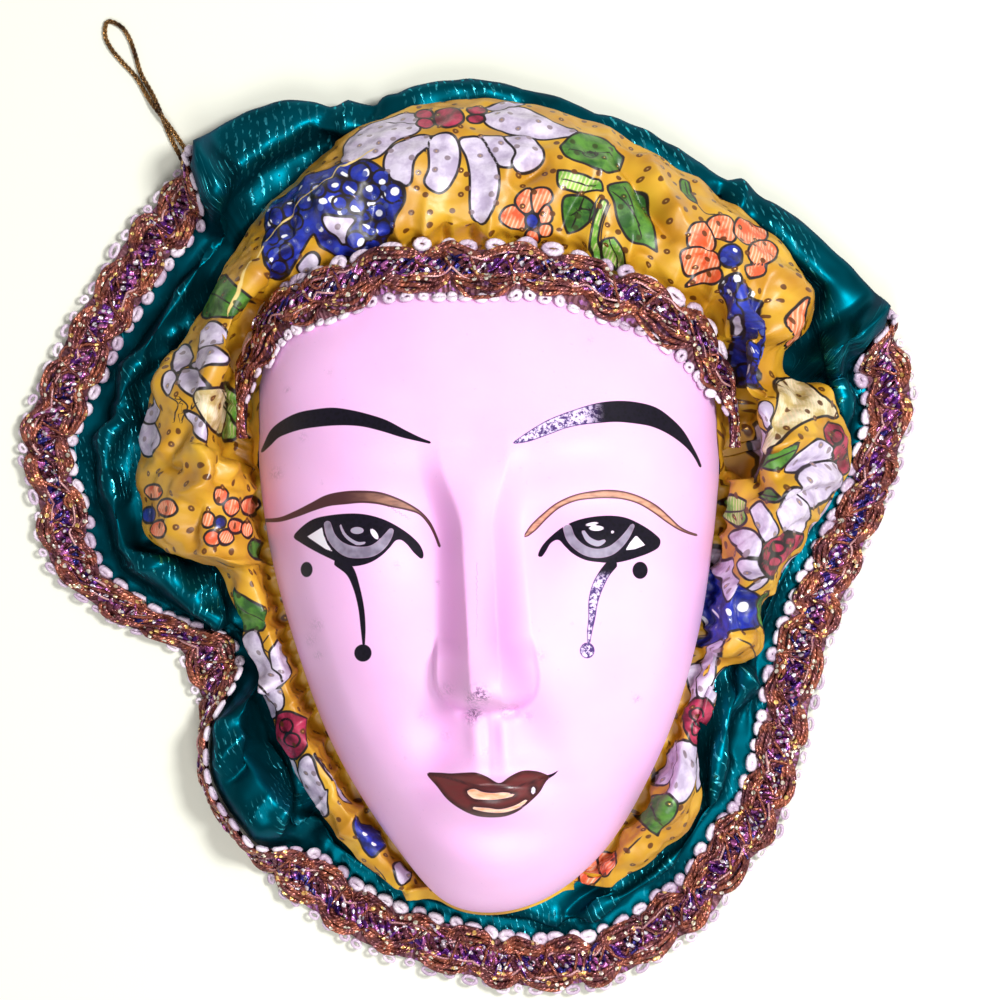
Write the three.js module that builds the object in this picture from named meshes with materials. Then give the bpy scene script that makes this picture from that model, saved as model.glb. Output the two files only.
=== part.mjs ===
// Decorative masquerade mask: a hollow bisque face lying on its open back, with a braid across the
// forehead, a gathered print ruffle round it, a wider satin collar edged with the same braid, and a
// thin hanging loop. Millimetres, +Z up: the face looks up, the crown of the head is towards +Y.
import * as THREE from "three";

// Driving dimensions: heights above the surface that the mask lies on
const RIM_HEIGHT = 6;
const DOME_HEIGHT = 32;
const DOME_POWER = 2.6;
const CERAMIC_WALL = 3.4;
const CLOTH = 1;
const GAP = 0.35;

// Driving dimensions: trims
const BRAID_WIDTH = 12;
const BRAID_THICKNESS = 1.5;
const ROLL_RADIUS = 3.8;
const CORD_DIAMETER = 1;
const CORD_LIFT = 1.5;

// Fineness of the meshes
const FACE_STATIONS = 60;
const FACE_RINGS = 17;
const HOLLOW_RINGS = 6;
const CLOTH_STEP = 5;
const TWIST_STEP = 1.7;

// Every outline is star-shaped about this point behind the nose.
const POLE = new THREE.Vector2(4.5, -6);

// Tip of the nose, and how much thicker the ceramic is behind it
const NOSE = new THREE.Vector3(4.6, -25, 0);
const NOSE_FILL = 6;

// Edge of the ceramic, from the chin up the right side, over the crown and down the left
const CERAMIC_EDGE = [
  [4.2, -73.4], [15, -70.6], [26.7, -61], [37.9, -41.3], [44.4, -21.6], [47.8, -2], [49.3, 18],
  [47.6, 36], [40, 51.5], [24, 61.5], [3, 64.5], [-18, 61], [-33, 51], [-41, 36], [-41.7, 18],
  [-39.3, -2], [-34, -21.6], [-26.5, -41.3], [-14.1, -61], [-4.5, -71.4],
];

// Hem of the print ruffle
const RUFFLE_EDGE = [
  [2, -74.5], [20, -72], [35, -63], [43.5, -56], [45.5, -48], [44.5, -38], [49, -26], [57.5, -21.5],
  [57.5, -12], [64, -3], [73.8, 12], [74.8, 20], [70.8, 27.5], [62, 33], [62.5, 38.5], [66.3, 47],
  [61, 58], [45.3, 70], [22, 82.7], [2, 86.2], [-20, 81.8], [-41, 64.1], [-51.4, 47.4], [-62, 29.7],
  [-65.2, 12], [-61, -2], [-50.2, -5], [-43, -22], [-36.3, -41.2], [-23.5, -60.8], [-9.8, -70.6],
];

// Outermost line of the collar: braid where it shows, and a rolled satin edge over the crown
const COLLAR_EDGE = [
  [2, -89.2], [26, -89], [46, -78.2], [57, -65.5], [64.5, -52], [68.6, -37], [74.2, -16],
  [80.3, 0], [87, 18], [89.6, 29], [86.5, 41], [79, 50], [66, 62.3], [54, 69.8], [38, 78],
  [18, 87.2], [2, 90.2], [-16, 88], [-26, 85.4], [-36, 87], [-46, 83.6], [-56, 76.4], [-66, 65],
  [-79, 46], [-87, 30], [-89.6, 20], [-87.6, 9], [-85, -4], [-74, -15.2], [-60, -22], [-54.5, -32],
  [-53.5, -49], [-45, -62.2], [-36, -72], [-18, -83.2],
];

// Where the collar's edge hangs down (lower left) and where it rolls under (over the crown)
const HANGING_EDGE = { from: 204, to: 234, turn: 78, ease: 12 };
const ROLLED_EDGE = { from: 36, to: 126, turn: 180, ease: 18 };

// Folds: direction in degrees round the pole, height of the ridge (or depth, where negative), half width
const COLLAR_FOLDS = [
  [20, 2.5, 5], [32, -2, 5], [45, 2, 5], [59, -2, 5], [74, 2, 5], [112, -2.5, 5], [124, 2.5, 5],
  [136, -2, 5], [147, 2.5, 5], [159, -2, 5], [170, 2.5, 5], [182, -2, 5], [193, 2, 5], [206, -2, 5],
  [218, 2.5, 5], [230, -2, 5], [243, 3, 5], [256, -2, 5], [270, 2, 5], [286, 2.5, 5], [300, -2, 5],
  [314, 2.5, 5], [327, -2.5, 5], [341, 2.5, 5], [354, -2, 5],
];
const RUFFLE_FOLDS = [
  [8, 2.5, 6], [21, -4, 5], [33, -4, 5], [45, 2.5, 6], [57, -3, 5], [69, 2.5, 6], [81, -2.5, 5],
  [93, 2, 6], [105, -2.5, 5], [117, 2.5, 6], [129, -3, 5], [141, 2.5, 6], [153, -3, 5], [165, 2.5, 6],
  [177, -3, 5], [189, -2, 5], [205, 1.5, 5], [218, -1.5, 5], [318, 2, 5], [332, -2, 5], [344, 2, 5],
  [356, -3, 5],
];

// Centreline of the forehead braid on the ceramic, from the left temple to the right one
const HEADBAND_LOWEST = 0.85;
const HEADBAND_LINE = [
  [-42, 21], [-41.5, 30], [-37.5, 39.5], [-31, 44.8], [-22, 48], [-3.4, 50.6], [17.3, 49.2], [29, 45.6],
  [38.5, 40.4], [45.8, 32.5], [48.8, 25], [49.6, 19],
];

// Directions between which the ruffle is held on the ceramic, and how far it is held from the
// forehead braid's middle
const CROWN = { from: 25, to: 154.5, ease: 14 };
const RUFFLE_HOLD = 7.4;

// Heights of the cloths: the ruffle's crest and its lowest hem, and the collar's swell beyond it
const RUFFLE_CREST = 25.5;
const LOWEST_HEM = 10;
const COLLAR_SWELL = 9.5;

// How far both cloths reach in under the ceramic's edge, and the least that the ruffle shows past it
const TUCK = 2.8;
const LEAST_RUFFLE = 3.4;

// The hanging loop, from one glued end to the tip: distance along it, distance of each strand from
// its middle line, and heights of the two strands, one of which passes over the other
const LOOP_START = new THREE.Vector2(-36.2, 40.3);
const LOOP_TIP = new THREE.Vector2(-72.4, 103.6);
const LOOP_STRANDS = [
  [0, 1.2, 2.1, 2.1], [4, 1.1, 0.9, 0.9], [9, 1, 0.5, 0.5], [16, 0.9, 0.5, 0.5], [24, 0.9, 0.5, 0.5],
  [32, 0.9, 0.5, 0.5], [40, 0.9, 0.5, 0.5], [46, 0.8, 0.5, 0.7], [51, 0.3, 0.5, 1.5], [55, -0.2, 0.5, 1.65],
  [59, -0.6, 0.5, 1.2], [63, -1.4, 0.5, 0.6], [66.5, -2.3, 0.5, 0.5], [70, -2.4, 0.5, 0.5],
];

const clamp01 = (value) => Math.min(1, Math.max(0, value));
const smooth = (value) => clamp01(value) ** 2 * (3 - 2 * clamp01(value));
const lerp = THREE.MathUtils.lerp;
const bell = (offset, width) => Math.exp(-0.5 * (offset / width) ** 2);
const mound = (u, v, centreU, centreV, widthU, widthV) =>
  bell(u - centreU, widthU) * bell(v - centreV, widthV);

// Signed difference of two directions in degrees, from -180 to 180
const turnBetween = (a, b) => ((a - b + 540) % 360) - 180;

// 1 inside a range of directions and 0 outside it, easing over a few degrees at both ends
function within(direction, { from, to, ease }) {
  const middle = (from + to) / 2;
  const outside = Math.abs(turnBetween(direction, middle)) - (to - from) / 2;
  return 1 - smooth((outside + ease / 2) / ease);
}

const foldsAt = (direction, folds) =>
  folds.reduce((sum, [at, height, width]) => sum + height * bell(turnBetween(direction, at), width), 0);

// Distance from the pole to a closed outline, as a function of the direction in degrees
function polarOutline(points) {
  const corners = points.map(([x, y]) => new THREE.Vector3(x - POLE.x, y - POLE.y, 0));
  const curve = new THREE.CatmullRomCurve3(corners, true, "centripetal");
  const samples = curve.getPoints(1080).map((p) => ({
    direction: (THREE.MathUtils.radToDeg(Math.atan2(p.y, p.x)) + 360) % 360,
    radius: Math.hypot(p.x, p.y),
  }));
  const table = Array.from({ length: 360 }, (_, degree) => {
    const near = samples.filter((s) => Math.abs(turnBetween(s.direction, degree)) < 1);
    return near.reduce((sum, s) => sum + s.radius, 0) / near.length;
  });
  return (direction) => {
    const wrapped = ((direction % 360) + 360) % 360;
    const whole = Math.floor(wrapped);
    return lerp(table[whole % 360], table[(whole + 1) % 360], wrapped - whole);
  };
}

const ceramicRadius = polarOutline(CERAMIC_EDGE);
const ruffleRadius = polarOutline(RUFFLE_EDGE);
const collarRadius = polarOutline(COLLAR_EDGE);

// A point at a distance, direction and height about the pole
function polar(radius, direction, height) {
  const angle = THREE.MathUtils.degToRad(direction);
  return new THREE.Vector3(POLE.x + radius * Math.cos(angle), POLE.y + radius * Math.sin(angle), height);
}

// Modelling of the features, added to the smooth dome: u is the distance across from the nose line
function featureHeight(x, y) {
  const u = x - 2 + 0.057 * y;
  const side = Math.abs(u);
  const alongNose = clamp01((12 - y) / 38);
  const noseHeight = lerp(1.8, 9.5, alongNose ** 1.2);
  const noseWidth = lerp(3.4, 5, alongNose);
  const noseEnds = (1 / (1 + Math.exp((y - 11) / 3))) * (1 / (1 + Math.exp(-(y + 29.5) / 1.2)));
  const nose = noseHeight * bell(u - alongNose * 0.8, noseWidth) * noseEnds
    + 3 * mound(u, y, 0.8, -25, 5, 3.8)
    + 4.2 * mound(side, y, 7.6, -27.5, 3.2, 3);
  const eyes = -4 * mound(side, y, 20, 5, 12, 7) - 2.6 * mound(side, y, 9.5, 1, 4, 6)
    + 4.4 * mound(side, y, 22.5, 0.8, 9.5, 5.6);
  const brow = 2.2 * mound(side, y, 17, 16, 12, 5);
  const cheeks = 2.4 * mound(side, y, 25, -20, 12, 13);
  const mouth = 3.2 * mound(u, y, 0, -43, 14, 11) - 0.9 * mound(u, y, 0, -37.5, 2, 4)
    + 1.7 * mound(side, y, 4.5, -42.6, 4.2, 1.9) + 2.4 * mound(u, y, 0, -48.6, 7, 2.6)
    - 1.1 * bell(y + 45, 0.9) * bell(u, 8);
  const chin = 4 * mound(u, y, 0, -62, 9, 8) - 1.6 * mound(u, y, 0, -54.5, 8, 2.6);
  return nose + eyes + brow + cheeks + mouth + chin;
}

// Fraction of the way from the pole to the edge, spaced evenly along the dome
const fractionOf = (arc) => Math.sin((Math.PI / 2) * clamp01(arc)) ** 0.92;
const arcOf = (fraction) => Math.asin(clamp01(fraction) ** (1 / 0.92)) / (Math.PI / 2);

// Height of the ceramic's outer surface over a place in plan
function ceramicHeight(x, y) {
  const direction = THREE.MathUtils.radToDeg(Math.atan2(y - POLE.y, x - POLE.x));
  const fraction = clamp01(Math.hypot(x - POLE.x, y - POLE.y) / ceramicRadius(direction));
  const dome = DOME_HEIGHT * Math.sqrt(1 - fraction ** DOME_POWER);
  return RIM_HEIGHT + dome + featureHeight(x, y) * (1 - smooth((fraction - 0.8) / 0.2));
}

// The ceramic's outer surface at a direction and a place along the dome
function ceramicPoint(direction, arc) {
  const plan = polar(fractionOf(arc) * ceramicRadius(direction), direction, 0);
  return plan.setZ(arc < 1 ? ceramicHeight(plan.x, plan.y) : RIM_HEIGHT);
}

// How far the collar's edge has turned over at a direction, in degrees: 0 where it lies flat
const turnOf = (direction) => Math.max(
  HANGING_EDGE.turn * within(direction, HANGING_EDGE),
  ROLLED_EDGE.turn * within(direction, ROLLED_EDGE),
);

// 1 in the middle of a twist of the collar's edge and 0 where it doesn't change
const twistOf = (direction) => [HANGING_EDGE, ROLLED_EDGE].reduce((most, zone) =>
  Math.max(most, 4 * within(direction, zone) * (1 - within(direction, zone))), 0);

// Directions of a cloth's sections: evenly spread, but closer together where it twists
function directionsOf(twistsAt) {
  const directions = [];
  const end = 360 - TWIST_STEP / 2;
  for (let at = 0; at < end; at += twistsAt(at) ? TWIST_STEP : CLOTH_STEP) directions.push(at);
  return directions;
}
const collarDirections = directionsOf((at) => Math.abs(turnOf(at + 6) - turnOf(at - 2)) > 0.1);
const ruffleDirections = directionsOf((at) => Math.abs(within(at, CROWN) - 0.2) < 0.19);

// A closed body from rings of points: the rings run from its bottom pole to its top pole
function domeBody(rings, firstPole, lastPole) {
  const count = rings[0].length;
  const points = [firstPole, ...rings.flat(), lastPole];
  const last = points.length - 1;
  const at = (ring, station) => 1 + ring * count + (station % count);
  const triangles = [];
  for (let station = 0; station < count; station++) {
    triangles.push(0, at(0, station), at(0, station + 1));
    triangles.push(last, at(rings.length - 1, station + 1), at(rings.length - 1, station));
    for (let ring = 0; ring + 1 < rings.length; ring++) {
      triangles.push(at(ring, station), at(ring + 1, station), at(ring + 1, station + 1));
      triangles.push(at(ring, station), at(ring + 1, station + 1), at(ring, station + 1));
    }
  }
  return bodyOf(points, triangles);
}

// A closed band: each section is a closed loop of points, and the last section joins the first
// unless the band has two ends, which are then capped
function bandBody(sections, isRing) {
  const count = sections[0].length;
  const points = sections.flat();
  const at = (section, corner) => (section % sections.length) * count + (corner % count);
  const triangles = [];
  const spans = isRing ? sections.length : sections.length - 1;
  for (let section = 0; section < spans; section++) {
    for (let corner = 0; corner < count; corner++) {
      triangles.push(at(section, corner), at(section + 1, corner), at(section + 1, corner + 1));
      triangles.push(at(section, corner), at(section + 1, corner + 1), at(section, corner + 1));
    }
  }
  if (!isRing) {
    for (let corner = 1; corner + 1 < count; corner++) {
      triangles.push(at(0, 0), at(0, corner), at(0, corner + 1));
      triangles.push(at(spans, 0), at(spans, corner + 1), at(spans, corner));
    }
  }
  return bodyOf(points, triangles);
}

function bodyOf(points, triangles) {
  const geometry = new THREE.BufferGeometry().setFromPoints(points);
  geometry.setIndex(triangles);
  geometry.computeVertexNormals();
  return geometry;
}

// Offsets a line of [radius, height] points to both sides by half a thickness, as one closed loop
function thicken(line, thickness) {
  const normals = line.map((_, i) => {
    const [r0, z0] = line[Math.max(0, i - 1)];
    const [r1, z1] = line[Math.min(line.length - 1, i + 1)];
    const length = Math.hypot(r1 - r0, z1 - z0);
    return [-(z1 - z0) / length, (r1 - r0) / length];
  });
  const shifted = (sign) => line.map(([r, z], i) => [
    r + (sign * normals[i][0] * thickness) / 2,
    z + (sign * normals[i][1] * thickness) / 2,
  ]);
  return [...shifted(1), ...shifted(-1).reverse()];
}

const loopAt = (direction, loop) => loop.map(([radius, height]) => polar(radius, direction, height));

// The loop passes under the collar's outer edge here, which rides up over it
const LOOP_CROSSING = new THREE.Vector2(-56.4, 76);
const loopDirection = THREE.MathUtils.radToDeg(
  Math.atan2(LOOP_CROSSING.y - POLE.y, LOOP_CROSSING.x - POLE.x));
const liftOverLoop = (direction) => CORD_LIFT * bell(turnBetween(direction, loopDirection), 3.5);

// The collar's outer end in section, as [outward, up] places from where it starts to bend: a bend
// that is longer the further it turns, then a straight end nearly as wide as the braid sewn on it
function collarEnd(direction) {
  const turn = turnOf(direction);
  const startSlope = lerp(-24, 0, smooth(turn / 60));
  const bendLength = lerp(2.7, Math.PI * ROLL_RADIUS, turn / 180);
  const points = [[0, 0]];
  const step = (length, slope) => {
    const [r, z] = points[points.length - 1];
    const angle = THREE.MathUtils.degToRad(slope);
    points.push([r + length * Math.cos(angle), z + length * Math.sin(angle)]);
  };
  for (const part of [1 / 6, 3 / 6, 5 / 6]) step(bendLength / 3, lerp(startSlope, -turn, part));
  step(BRAID_WIDTH - 2, -turn);
  return points;
}

// The braid in section beside the collar's straight end, on the side that faces out
function braidSection(end, turn, twist) {
  const angle = THREE.MathUtils.degToRad(-turn);
  const along = [Math.cos(angle), Math.sin(angle)];
  const outward = [-along[1], along[0]];
  const away = CLOTH / 2 + GAP + BRAID_THICKNESS / 2 + 2.6 * Math.sqrt(twist);
  const [r, z] = end[3];
  const middle = [0, BRAID_WIDTH].map((distance) => [
    r + along[0] * distance + outward[0] * away,
    z + along[1] * distance + outward[1] * away,
  ]);
  return thicken(middle, BRAID_THICKNESS);
}

// Collar's end and braid in section, set so that they touch the outline and the surface below
function collarSection(direction) {
  const turn = turnOf(direction);
  const end = collarEnd(direction);
  const braid = braidSection(end, turn, twistOf(direction));
  const both = [...thicken(end, CLOTH).filter(([r]) => r > 0.5), ...braid];
  const shiftR = collarRadius(direction) - Math.max(...both.map(([r]) => r));
  const shiftZ = liftOverLoop(direction) - Math.min(...both.map(([, z]) => z));
  const moved = (points) => points.map(([r, z]) => [r + shiftR, z + shiftZ]);
  return { end: moved(end), braid: moved(braid), turn };
}

const hemRadius = (direction) => Math.max(
  ruffleRadius(direction), ceramicRadius(direction) + LEAST_RUFFLE);

// The collar starts under the ceramic's edge, passes under the ruffle and swells before its end.
function collarLine(direction) {
  const start = ceramicRadius(direction) + 1;
  const { end, turn } = collarSection(direction);
  const [bendR, bendZ] = end[0];
  const room = bendR - start;
  const roomy = smooth((room - 2) / 12);
  const fold = foldsAt(direction, COLLAR_FOLDS) * roomy;
  const underHem = Math.min(0.84, Math.max(0.35, (hemRadius(direction) + 2.4 - start) / room));
  const low = RIM_HEIGHT - 2.5;
  const beyondHem = smooth((bendR - hemRadius(direction)) / 12);
  const swell = lerp(lerp(7, COLLAR_SWELL, beyondHem), bendZ, smooth(turn / 60));
  return [
    [start - 1 - TUCK, low],
    [start, low],
    [start + underHem * room, lerp(lerp(low, bendZ, 0.5), 6 + 0.2 * Math.min(fold, 1), roomy)],
    [
      start + lerp(underHem, 1, 0.55) * room,
      lerp(lerp(low, bendZ, 0.8), swell, roomy) + 0.7 * fold * beyondHem,
    ],
    ...end,
  ];
}

// Height of the collar's highest place near a radius, before its straight end
function collarTop(direction, radius) {
  const line = collarLine(direction).slice(0, 6);
  let highest = 0;
  for (let i = 0; i + 1 < line.length; i++) {
    for (let part = 0; part <= 1; part += 0.1) {
      const r = lerp(line[i][0], line[i + 1][0], part);
      if (Math.abs(r - radius) < 2.5) highest = Math.max(highest, lerp(line[i][1], line[i + 1][1], part));
    }
  }
  return highest;
}

// A place on the ceramic in section, [outward, up], moved off it at right angles
function offCeramic(direction, arc, clearance) {
  const [before, after] = [arc - 0.01, arc + 0.01].map((a) => {
    const point = ceramicPoint(direction, Math.min(1, a));
    return [Math.hypot(point.x - POLE.x, point.y - POLE.y), point.z];
  });
  const [run, rise] = [after[0] - before[0], after[1] - before[1]];
  const length = Math.hypot(run, rise);
  const point = ceramicPoint(direction, arc);
  const radius = Math.hypot(point.x - POLE.x, point.y - POLE.y);
  return [radius - (rise / length) * clearance, point.z + (run / length) * clearance];
}

// The place on the dome that lies a length further out than another
function arcBeyond(direction, arc, length) {
  let covered = 0;
  let place = arc;
  while (covered < length && place < 1) {
    covered += ceramicPoint(direction, place).distanceTo(ceramicPoint(direction, place + 0.005));
    place += 0.005;
  }
  return Math.min(1, place);
}

// The forehead braid's middle line as places on the dome
const headbandPoints = HEADBAND_LINE.map(([x, y]) => {
  const direction = THREE.MathUtils.radToDeg(Math.atan2(y - POLE.y, x - POLE.x));
  const arc = arcOf(Math.hypot(x - POLE.x, y - POLE.y) / ceramicRadius(direction));
  return new THREE.Vector3(direction, 100 * Math.min(arc, HEADBAND_LOWEST), 0);
});
const headbandCurve = new THREE.CatmullRomCurve3(headbandPoints, false, "centripetal");
const headbandPlaces = headbandCurve.getPoints(120);
function headbandArc(direction) {
  const nearest = headbandPlaces.reduce((best, place) =>
    Math.abs(place.x - direction) < Math.abs(best.x - direction) ? place : best);
  return nearest.y / 100;
}

// The ruffle leaves the ceramic from under the forehead braid at the crown, and from under its
// edge elsewhere; between the two its start passes round the outside of the edge.
function ruffleLine(direction) {
  const edge = ceramicRadius(direction);
  const crown = within(direction, CROWN);
  const hemR = hemRadius(direction);
  const width = hemR - edge;
  const fold = foldsAt(direction, RUFFLE_FOLDS) * clamp01(width / 14);
  const puff = lerp(RIM_HEIGHT + 1.5, RUFFLE_CREST, smooth(width / 21)) + fold;
  const overCollar = collarTop(direction, hemR) + CLOTH + GAP + 0.65;
  const hemHeight = Math.max(LOWEST_HEM, overCollar) + 0.2 * Math.max(0, fold);
  const clear = CLOTH / 2 + GAP + 0.25;
  const held = crown >= 0.25;
  const middle = lerp(1, headbandArc(direction), crown);
  const leave = arcBeyond(direction, middle, RUFFLE_HOLD);
  const tucked = crown < 0.02;
  const start = held ? [
    offCeramic(direction, middle, clear),
    offCeramic(direction, (middle + leave) / 2, clear + 0.2),
    offCeramic(direction, leave, clear + 0.3),
    offCeramic(direction, leave, clear + 4.6),
  ] : [
    [edge + (tucked ? -TUCK : 1.1), RIM_HEIGHT - clear],
    [edge + (tucked ? 1.1 : 2), RIM_HEIGHT - clear],
    [edge + (tucked ? 1.7 : 3), RIM_HEIGHT + (tucked ? 1.2 : 0.4)],
    [edge + (tucked ? 2.2 : 3.8), lerp(RIM_HEIGHT + 1.2, puff, tucked ? 0.5 : 0.25)],
  ];
  for (const place of start) place[1] = Math.max(place[1], RIM_HEIGHT - clear);
  return [
    ...start,
    [Math.max(edge + 0.4 * width, start[3][0] + 1), puff],
    [Math.max(edge + 0.75 * width, start[3][0] + 2.5), lerp(hemHeight, puff, 0.66) - 0.3 * fold],
    [hemR, hemHeight],
  ];
}

// The shell's outside and hollow as rings of points round the nose, closer together at the nose
// and at the edge; the hollow follows the outside a wall's thickness below it.
function makeFace() {
  const spacing = (count) => Array.from({ length: count }, (_, i) => fractionOf(((i + 1) / count) ** 1.3));
  const ring = (part, inset) => Array.from({ length: FACE_STATIONS }, (_, s) => {
    const direction = (360 * s) / FACE_STATIONS;
    const edge = polar(ceramicRadius(direction) - inset, direction, 0);
    const place = NOSE.clone().lerp(edge, part);
    const height = Math.max(ceramicHeight(place.x, place.y) - inset, RIM_HEIGHT + 0.4);
    return place.setZ(part < 1 ? height : RIM_HEIGHT);
  });
  const outside = spacing(FACE_RINGS).map((part) => ring(part, 0));
  const hollow = spacing(HOLLOW_RINGS).map((part) => ring(part, CERAMIC_WALL));
  const top = NOSE.clone().setZ(ceramicHeight(NOSE.x, NOSE.y));
  const ceiling = top.clone().setZ(top.z - CERAMIC_WALL - NOSE_FILL);
  for (const ringPoints of hollow.slice(0, 2)) {
    for (const point of ringPoints) point.z = Math.min(point.z, ceiling.z);
  }
  return domeBody([...outside, ...hollow.reverse()], top, ceiling);
}

const clothRing = (directions, sectionAt) => bandBody(
  directions.map((direction) => loopAt(direction, sectionAt(direction)).reverse()), true);
const makeRuffle = () => clothRing(ruffleDirections, (at) => thicken(ruffleLine(at), CLOTH));
const makeCollar = () => clothRing(collarDirections, (at) => thicken(collarLine(at), CLOTH));
const makeEdgeBraid = () => clothRing(collarDirections, (at) => collarSection(at).braid);

// The forehead braid lies along the ceramic, over the start of the ruffle.
function makeHeadband() {
  const steps = 30;
  const away = 2 * GAP + CLOTH + BRAID_THICKNESS / 2 + 0.75;
  const at = (place) => ceramicPoint(place.x, place.y / 100);
  const sections = Array.from({ length: steps + 1 }, (_, i) => {
    const place = headbandCurve.getPoint(i / steps);
    const centre = at(place);
    const along = at(headbandCurve.getPoint(Math.min(1, (i + 0.1) / steps)))
      .sub(at(headbandCurve.getPoint(Math.max(0, (i - 0.1) / steps)))).normalize();
    const outward = at(place.clone().add(new THREE.Vector3(0, 1, 0))).sub(centre);
    const normal = along.clone().cross(outward).normalize();
    const sideways = normal.clone().cross(along).normalize();
    const middle = centre.clone().addScaledVector(normal, away);
    const corner = (width, height) => middle.clone()
      .addScaledVector(sideways, (width * BRAID_WIDTH) / 2)
      .addScaledVector(normal, (height * BRAID_THICKNESS) / 2);
    return [corner(-1, -1), corner(-1, 1), corner(0, 1.3), corner(1, 1), corner(1, -1)];
  });
  return bandBody(sections, false);
}

// The loop's two strands run side by side, cross once and open into an eye at the tip.
function makeCord() {
  const along = LOOP_TIP.clone().sub(LOOP_START);
  const length = along.length();
  along.normalize();
  const point = (distance, side, height) => new THREE.Vector3(
    LOOP_START.x + along.x * distance - along.y * side,
    LOOP_START.y + along.y * distance + along.x * side,
    height,
  );
  const out = LOOP_STRANDS.map(([distance, side, height]) => point(distance, side, height));
  const back = LOOP_STRANDS.map(([distance, side, , height]) => point(distance, -side, height)).reverse();
  const tip = point(length, 0, CORD_DIAMETER / 2);
  const route = new THREE.CatmullRomCurve3([...out, tip, ...back], false, "centripetal");
  const section = new THREE.Shape().absarc(0, 0, CORD_DIAMETER / 2, 0, 2 * Math.PI);
  const steps = 60;
  const options = { steps, curveSegments: 4, extrudePath: route, bevelEnabled: false };
  return new THREE.ExtrudeGeometry(section, options);
}

const finish = (color, roughness, metalness) =>
  new THREE.MeshStandardMaterial({ color, roughness, metalness });

const mask = new THREE.Group();
const pieces = [
  ["face_shell", makeFace(), finish(0xf0d2ee, 0.55, 0)],
  ["headband_braid", makeHeadband(), finish(0x9a5a2c, 0.4, 0.6)],
  ["floral_ruffle", makeRuffle(), finish(0xf0b820, 0.5, 0)],
  ["teal_collar", makeCollar(), finish(0x0a6a74, 0.3, 0.2)],
  ["edge_braid", makeEdgeBraid(), finish(0x9a5a2c, 0.4, 0.6)],
  ["hanging_cord", makeCord(), finish(0xa8762a, 0.35, 0.7)],
];
for (const [name, geometry, material] of pieces) {
  const mesh = new THREE.Mesh(geometry, material);
  mesh.name = name;
  mask.add(mesh);
}

export default mask;
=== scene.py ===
"""Looks of the masquerade mask: a painted bisque face with a braided headband, a gathered floral
ruffle, a braid-edged satin collar and a twisted hanging loop. Lengths are in millimetres until a
mesh is made; places on the photograph are pixels of its 1000 x 1000 frame."""
import math

import bpy
import numpy as np
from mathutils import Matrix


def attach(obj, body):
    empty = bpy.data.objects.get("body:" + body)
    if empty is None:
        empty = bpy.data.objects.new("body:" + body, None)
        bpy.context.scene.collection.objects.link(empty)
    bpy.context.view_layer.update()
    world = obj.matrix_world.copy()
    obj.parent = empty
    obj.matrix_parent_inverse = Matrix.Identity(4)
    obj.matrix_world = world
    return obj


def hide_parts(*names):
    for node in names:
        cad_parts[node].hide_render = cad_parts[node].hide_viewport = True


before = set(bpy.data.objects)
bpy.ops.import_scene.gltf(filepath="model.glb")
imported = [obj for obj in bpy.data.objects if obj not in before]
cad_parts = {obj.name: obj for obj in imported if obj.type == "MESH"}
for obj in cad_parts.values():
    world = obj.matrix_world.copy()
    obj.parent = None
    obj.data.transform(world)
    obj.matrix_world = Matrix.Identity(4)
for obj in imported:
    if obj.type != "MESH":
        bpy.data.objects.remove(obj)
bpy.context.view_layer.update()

MM = 0.001

# Camera: straight above the mask, as in the photograph
CAMERA = np.array([6.0, 8.0, 550.0])
LENS = 99
SENSOR = 36
NEAREST_SEEN = 0.01
PIXELS_PER_MM = 5
FRAME_MIDDLE = 500

# Driving dimensions, as in the solids
RIM_HEIGHT = 6
DOME_HEIGHT = 32
DOME_POWER = 2.6
ARC_POWER = 0.92
CERAMIC_WALL = 3.4
CLOTH = 1
GAP = 0.35
BRAID_WIDTH = 12
BRAID_THICKNESS = 1.5
ROLL_RADIUS = 3.8
CORD_LIFT = 1.5
POLE = np.array([4.5, -6.0])

# Outlines, star-shaped about the pole
CERAMIC_EDGE = [
    (4.2, -73.4), (15, -70.6), (26.7, -61), (37.9, -41.3), (44.4, -21.6), (47.8, -2), (49.3, 18),
    (47.6, 36), (40, 51.5), (24, 61.5), (3, 64.5), (-18, 61), (-33, 51), (-41, 36), (-41.7, 18),
    (-39.3, -2), (-34, -21.6), (-26.5, -41.3), (-14.1, -61), (-4.5, -71.4),
]
RUFFLE_EDGE = [
    (2, -74.5), (20, -72), (35, -63), (43.5, -56), (45.5, -48), (44.5, -38), (49, -26),
    (57.5, -21.5), (57.5, -12), (64, -3), (73.8, 12), (74.8, 20), (70.8, 27.5), (62, 33),
    (62.5, 38.5), (66.3, 47), (61, 58), (45.3, 70), (22, 82.7), (2, 86.2), (-20, 81.8),
    (-41, 64.1), (-51.4, 47.4), (-62, 29.7), (-65.2, 12), (-61, -2), (-50.2, -5), (-43, -22),
    (-36.3, -41.2), (-23.5, -60.8), (-9.8, -70.6),
]
COLLAR_EDGE = [
    (2, -89.2), (26, -89), (46, -78.2), (57, -65.5), (64.5, -52), (68.6, -37), (74.2, -16),
    (80.3, 0), (87, 18), (89.6, 29), (86.5, 41), (79, 50), (66, 62.3), (54, 69.8), (38, 78),
    (18, 87.2), (2, 90.2), (-16, 88), (-26, 85.4), (-36, 87), (-46, 83.6), (-56, 76.4), (-66, 65),
    (-79, 46), (-87, 30), (-89.6, 20), (-87.6, 9), (-85, -4), (-74, -15.2), (-60, -22),
    (-54.5, -32), (-53.5, -49), (-45, -62.2), (-36, -72), (-18, -83.2),
]

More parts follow.
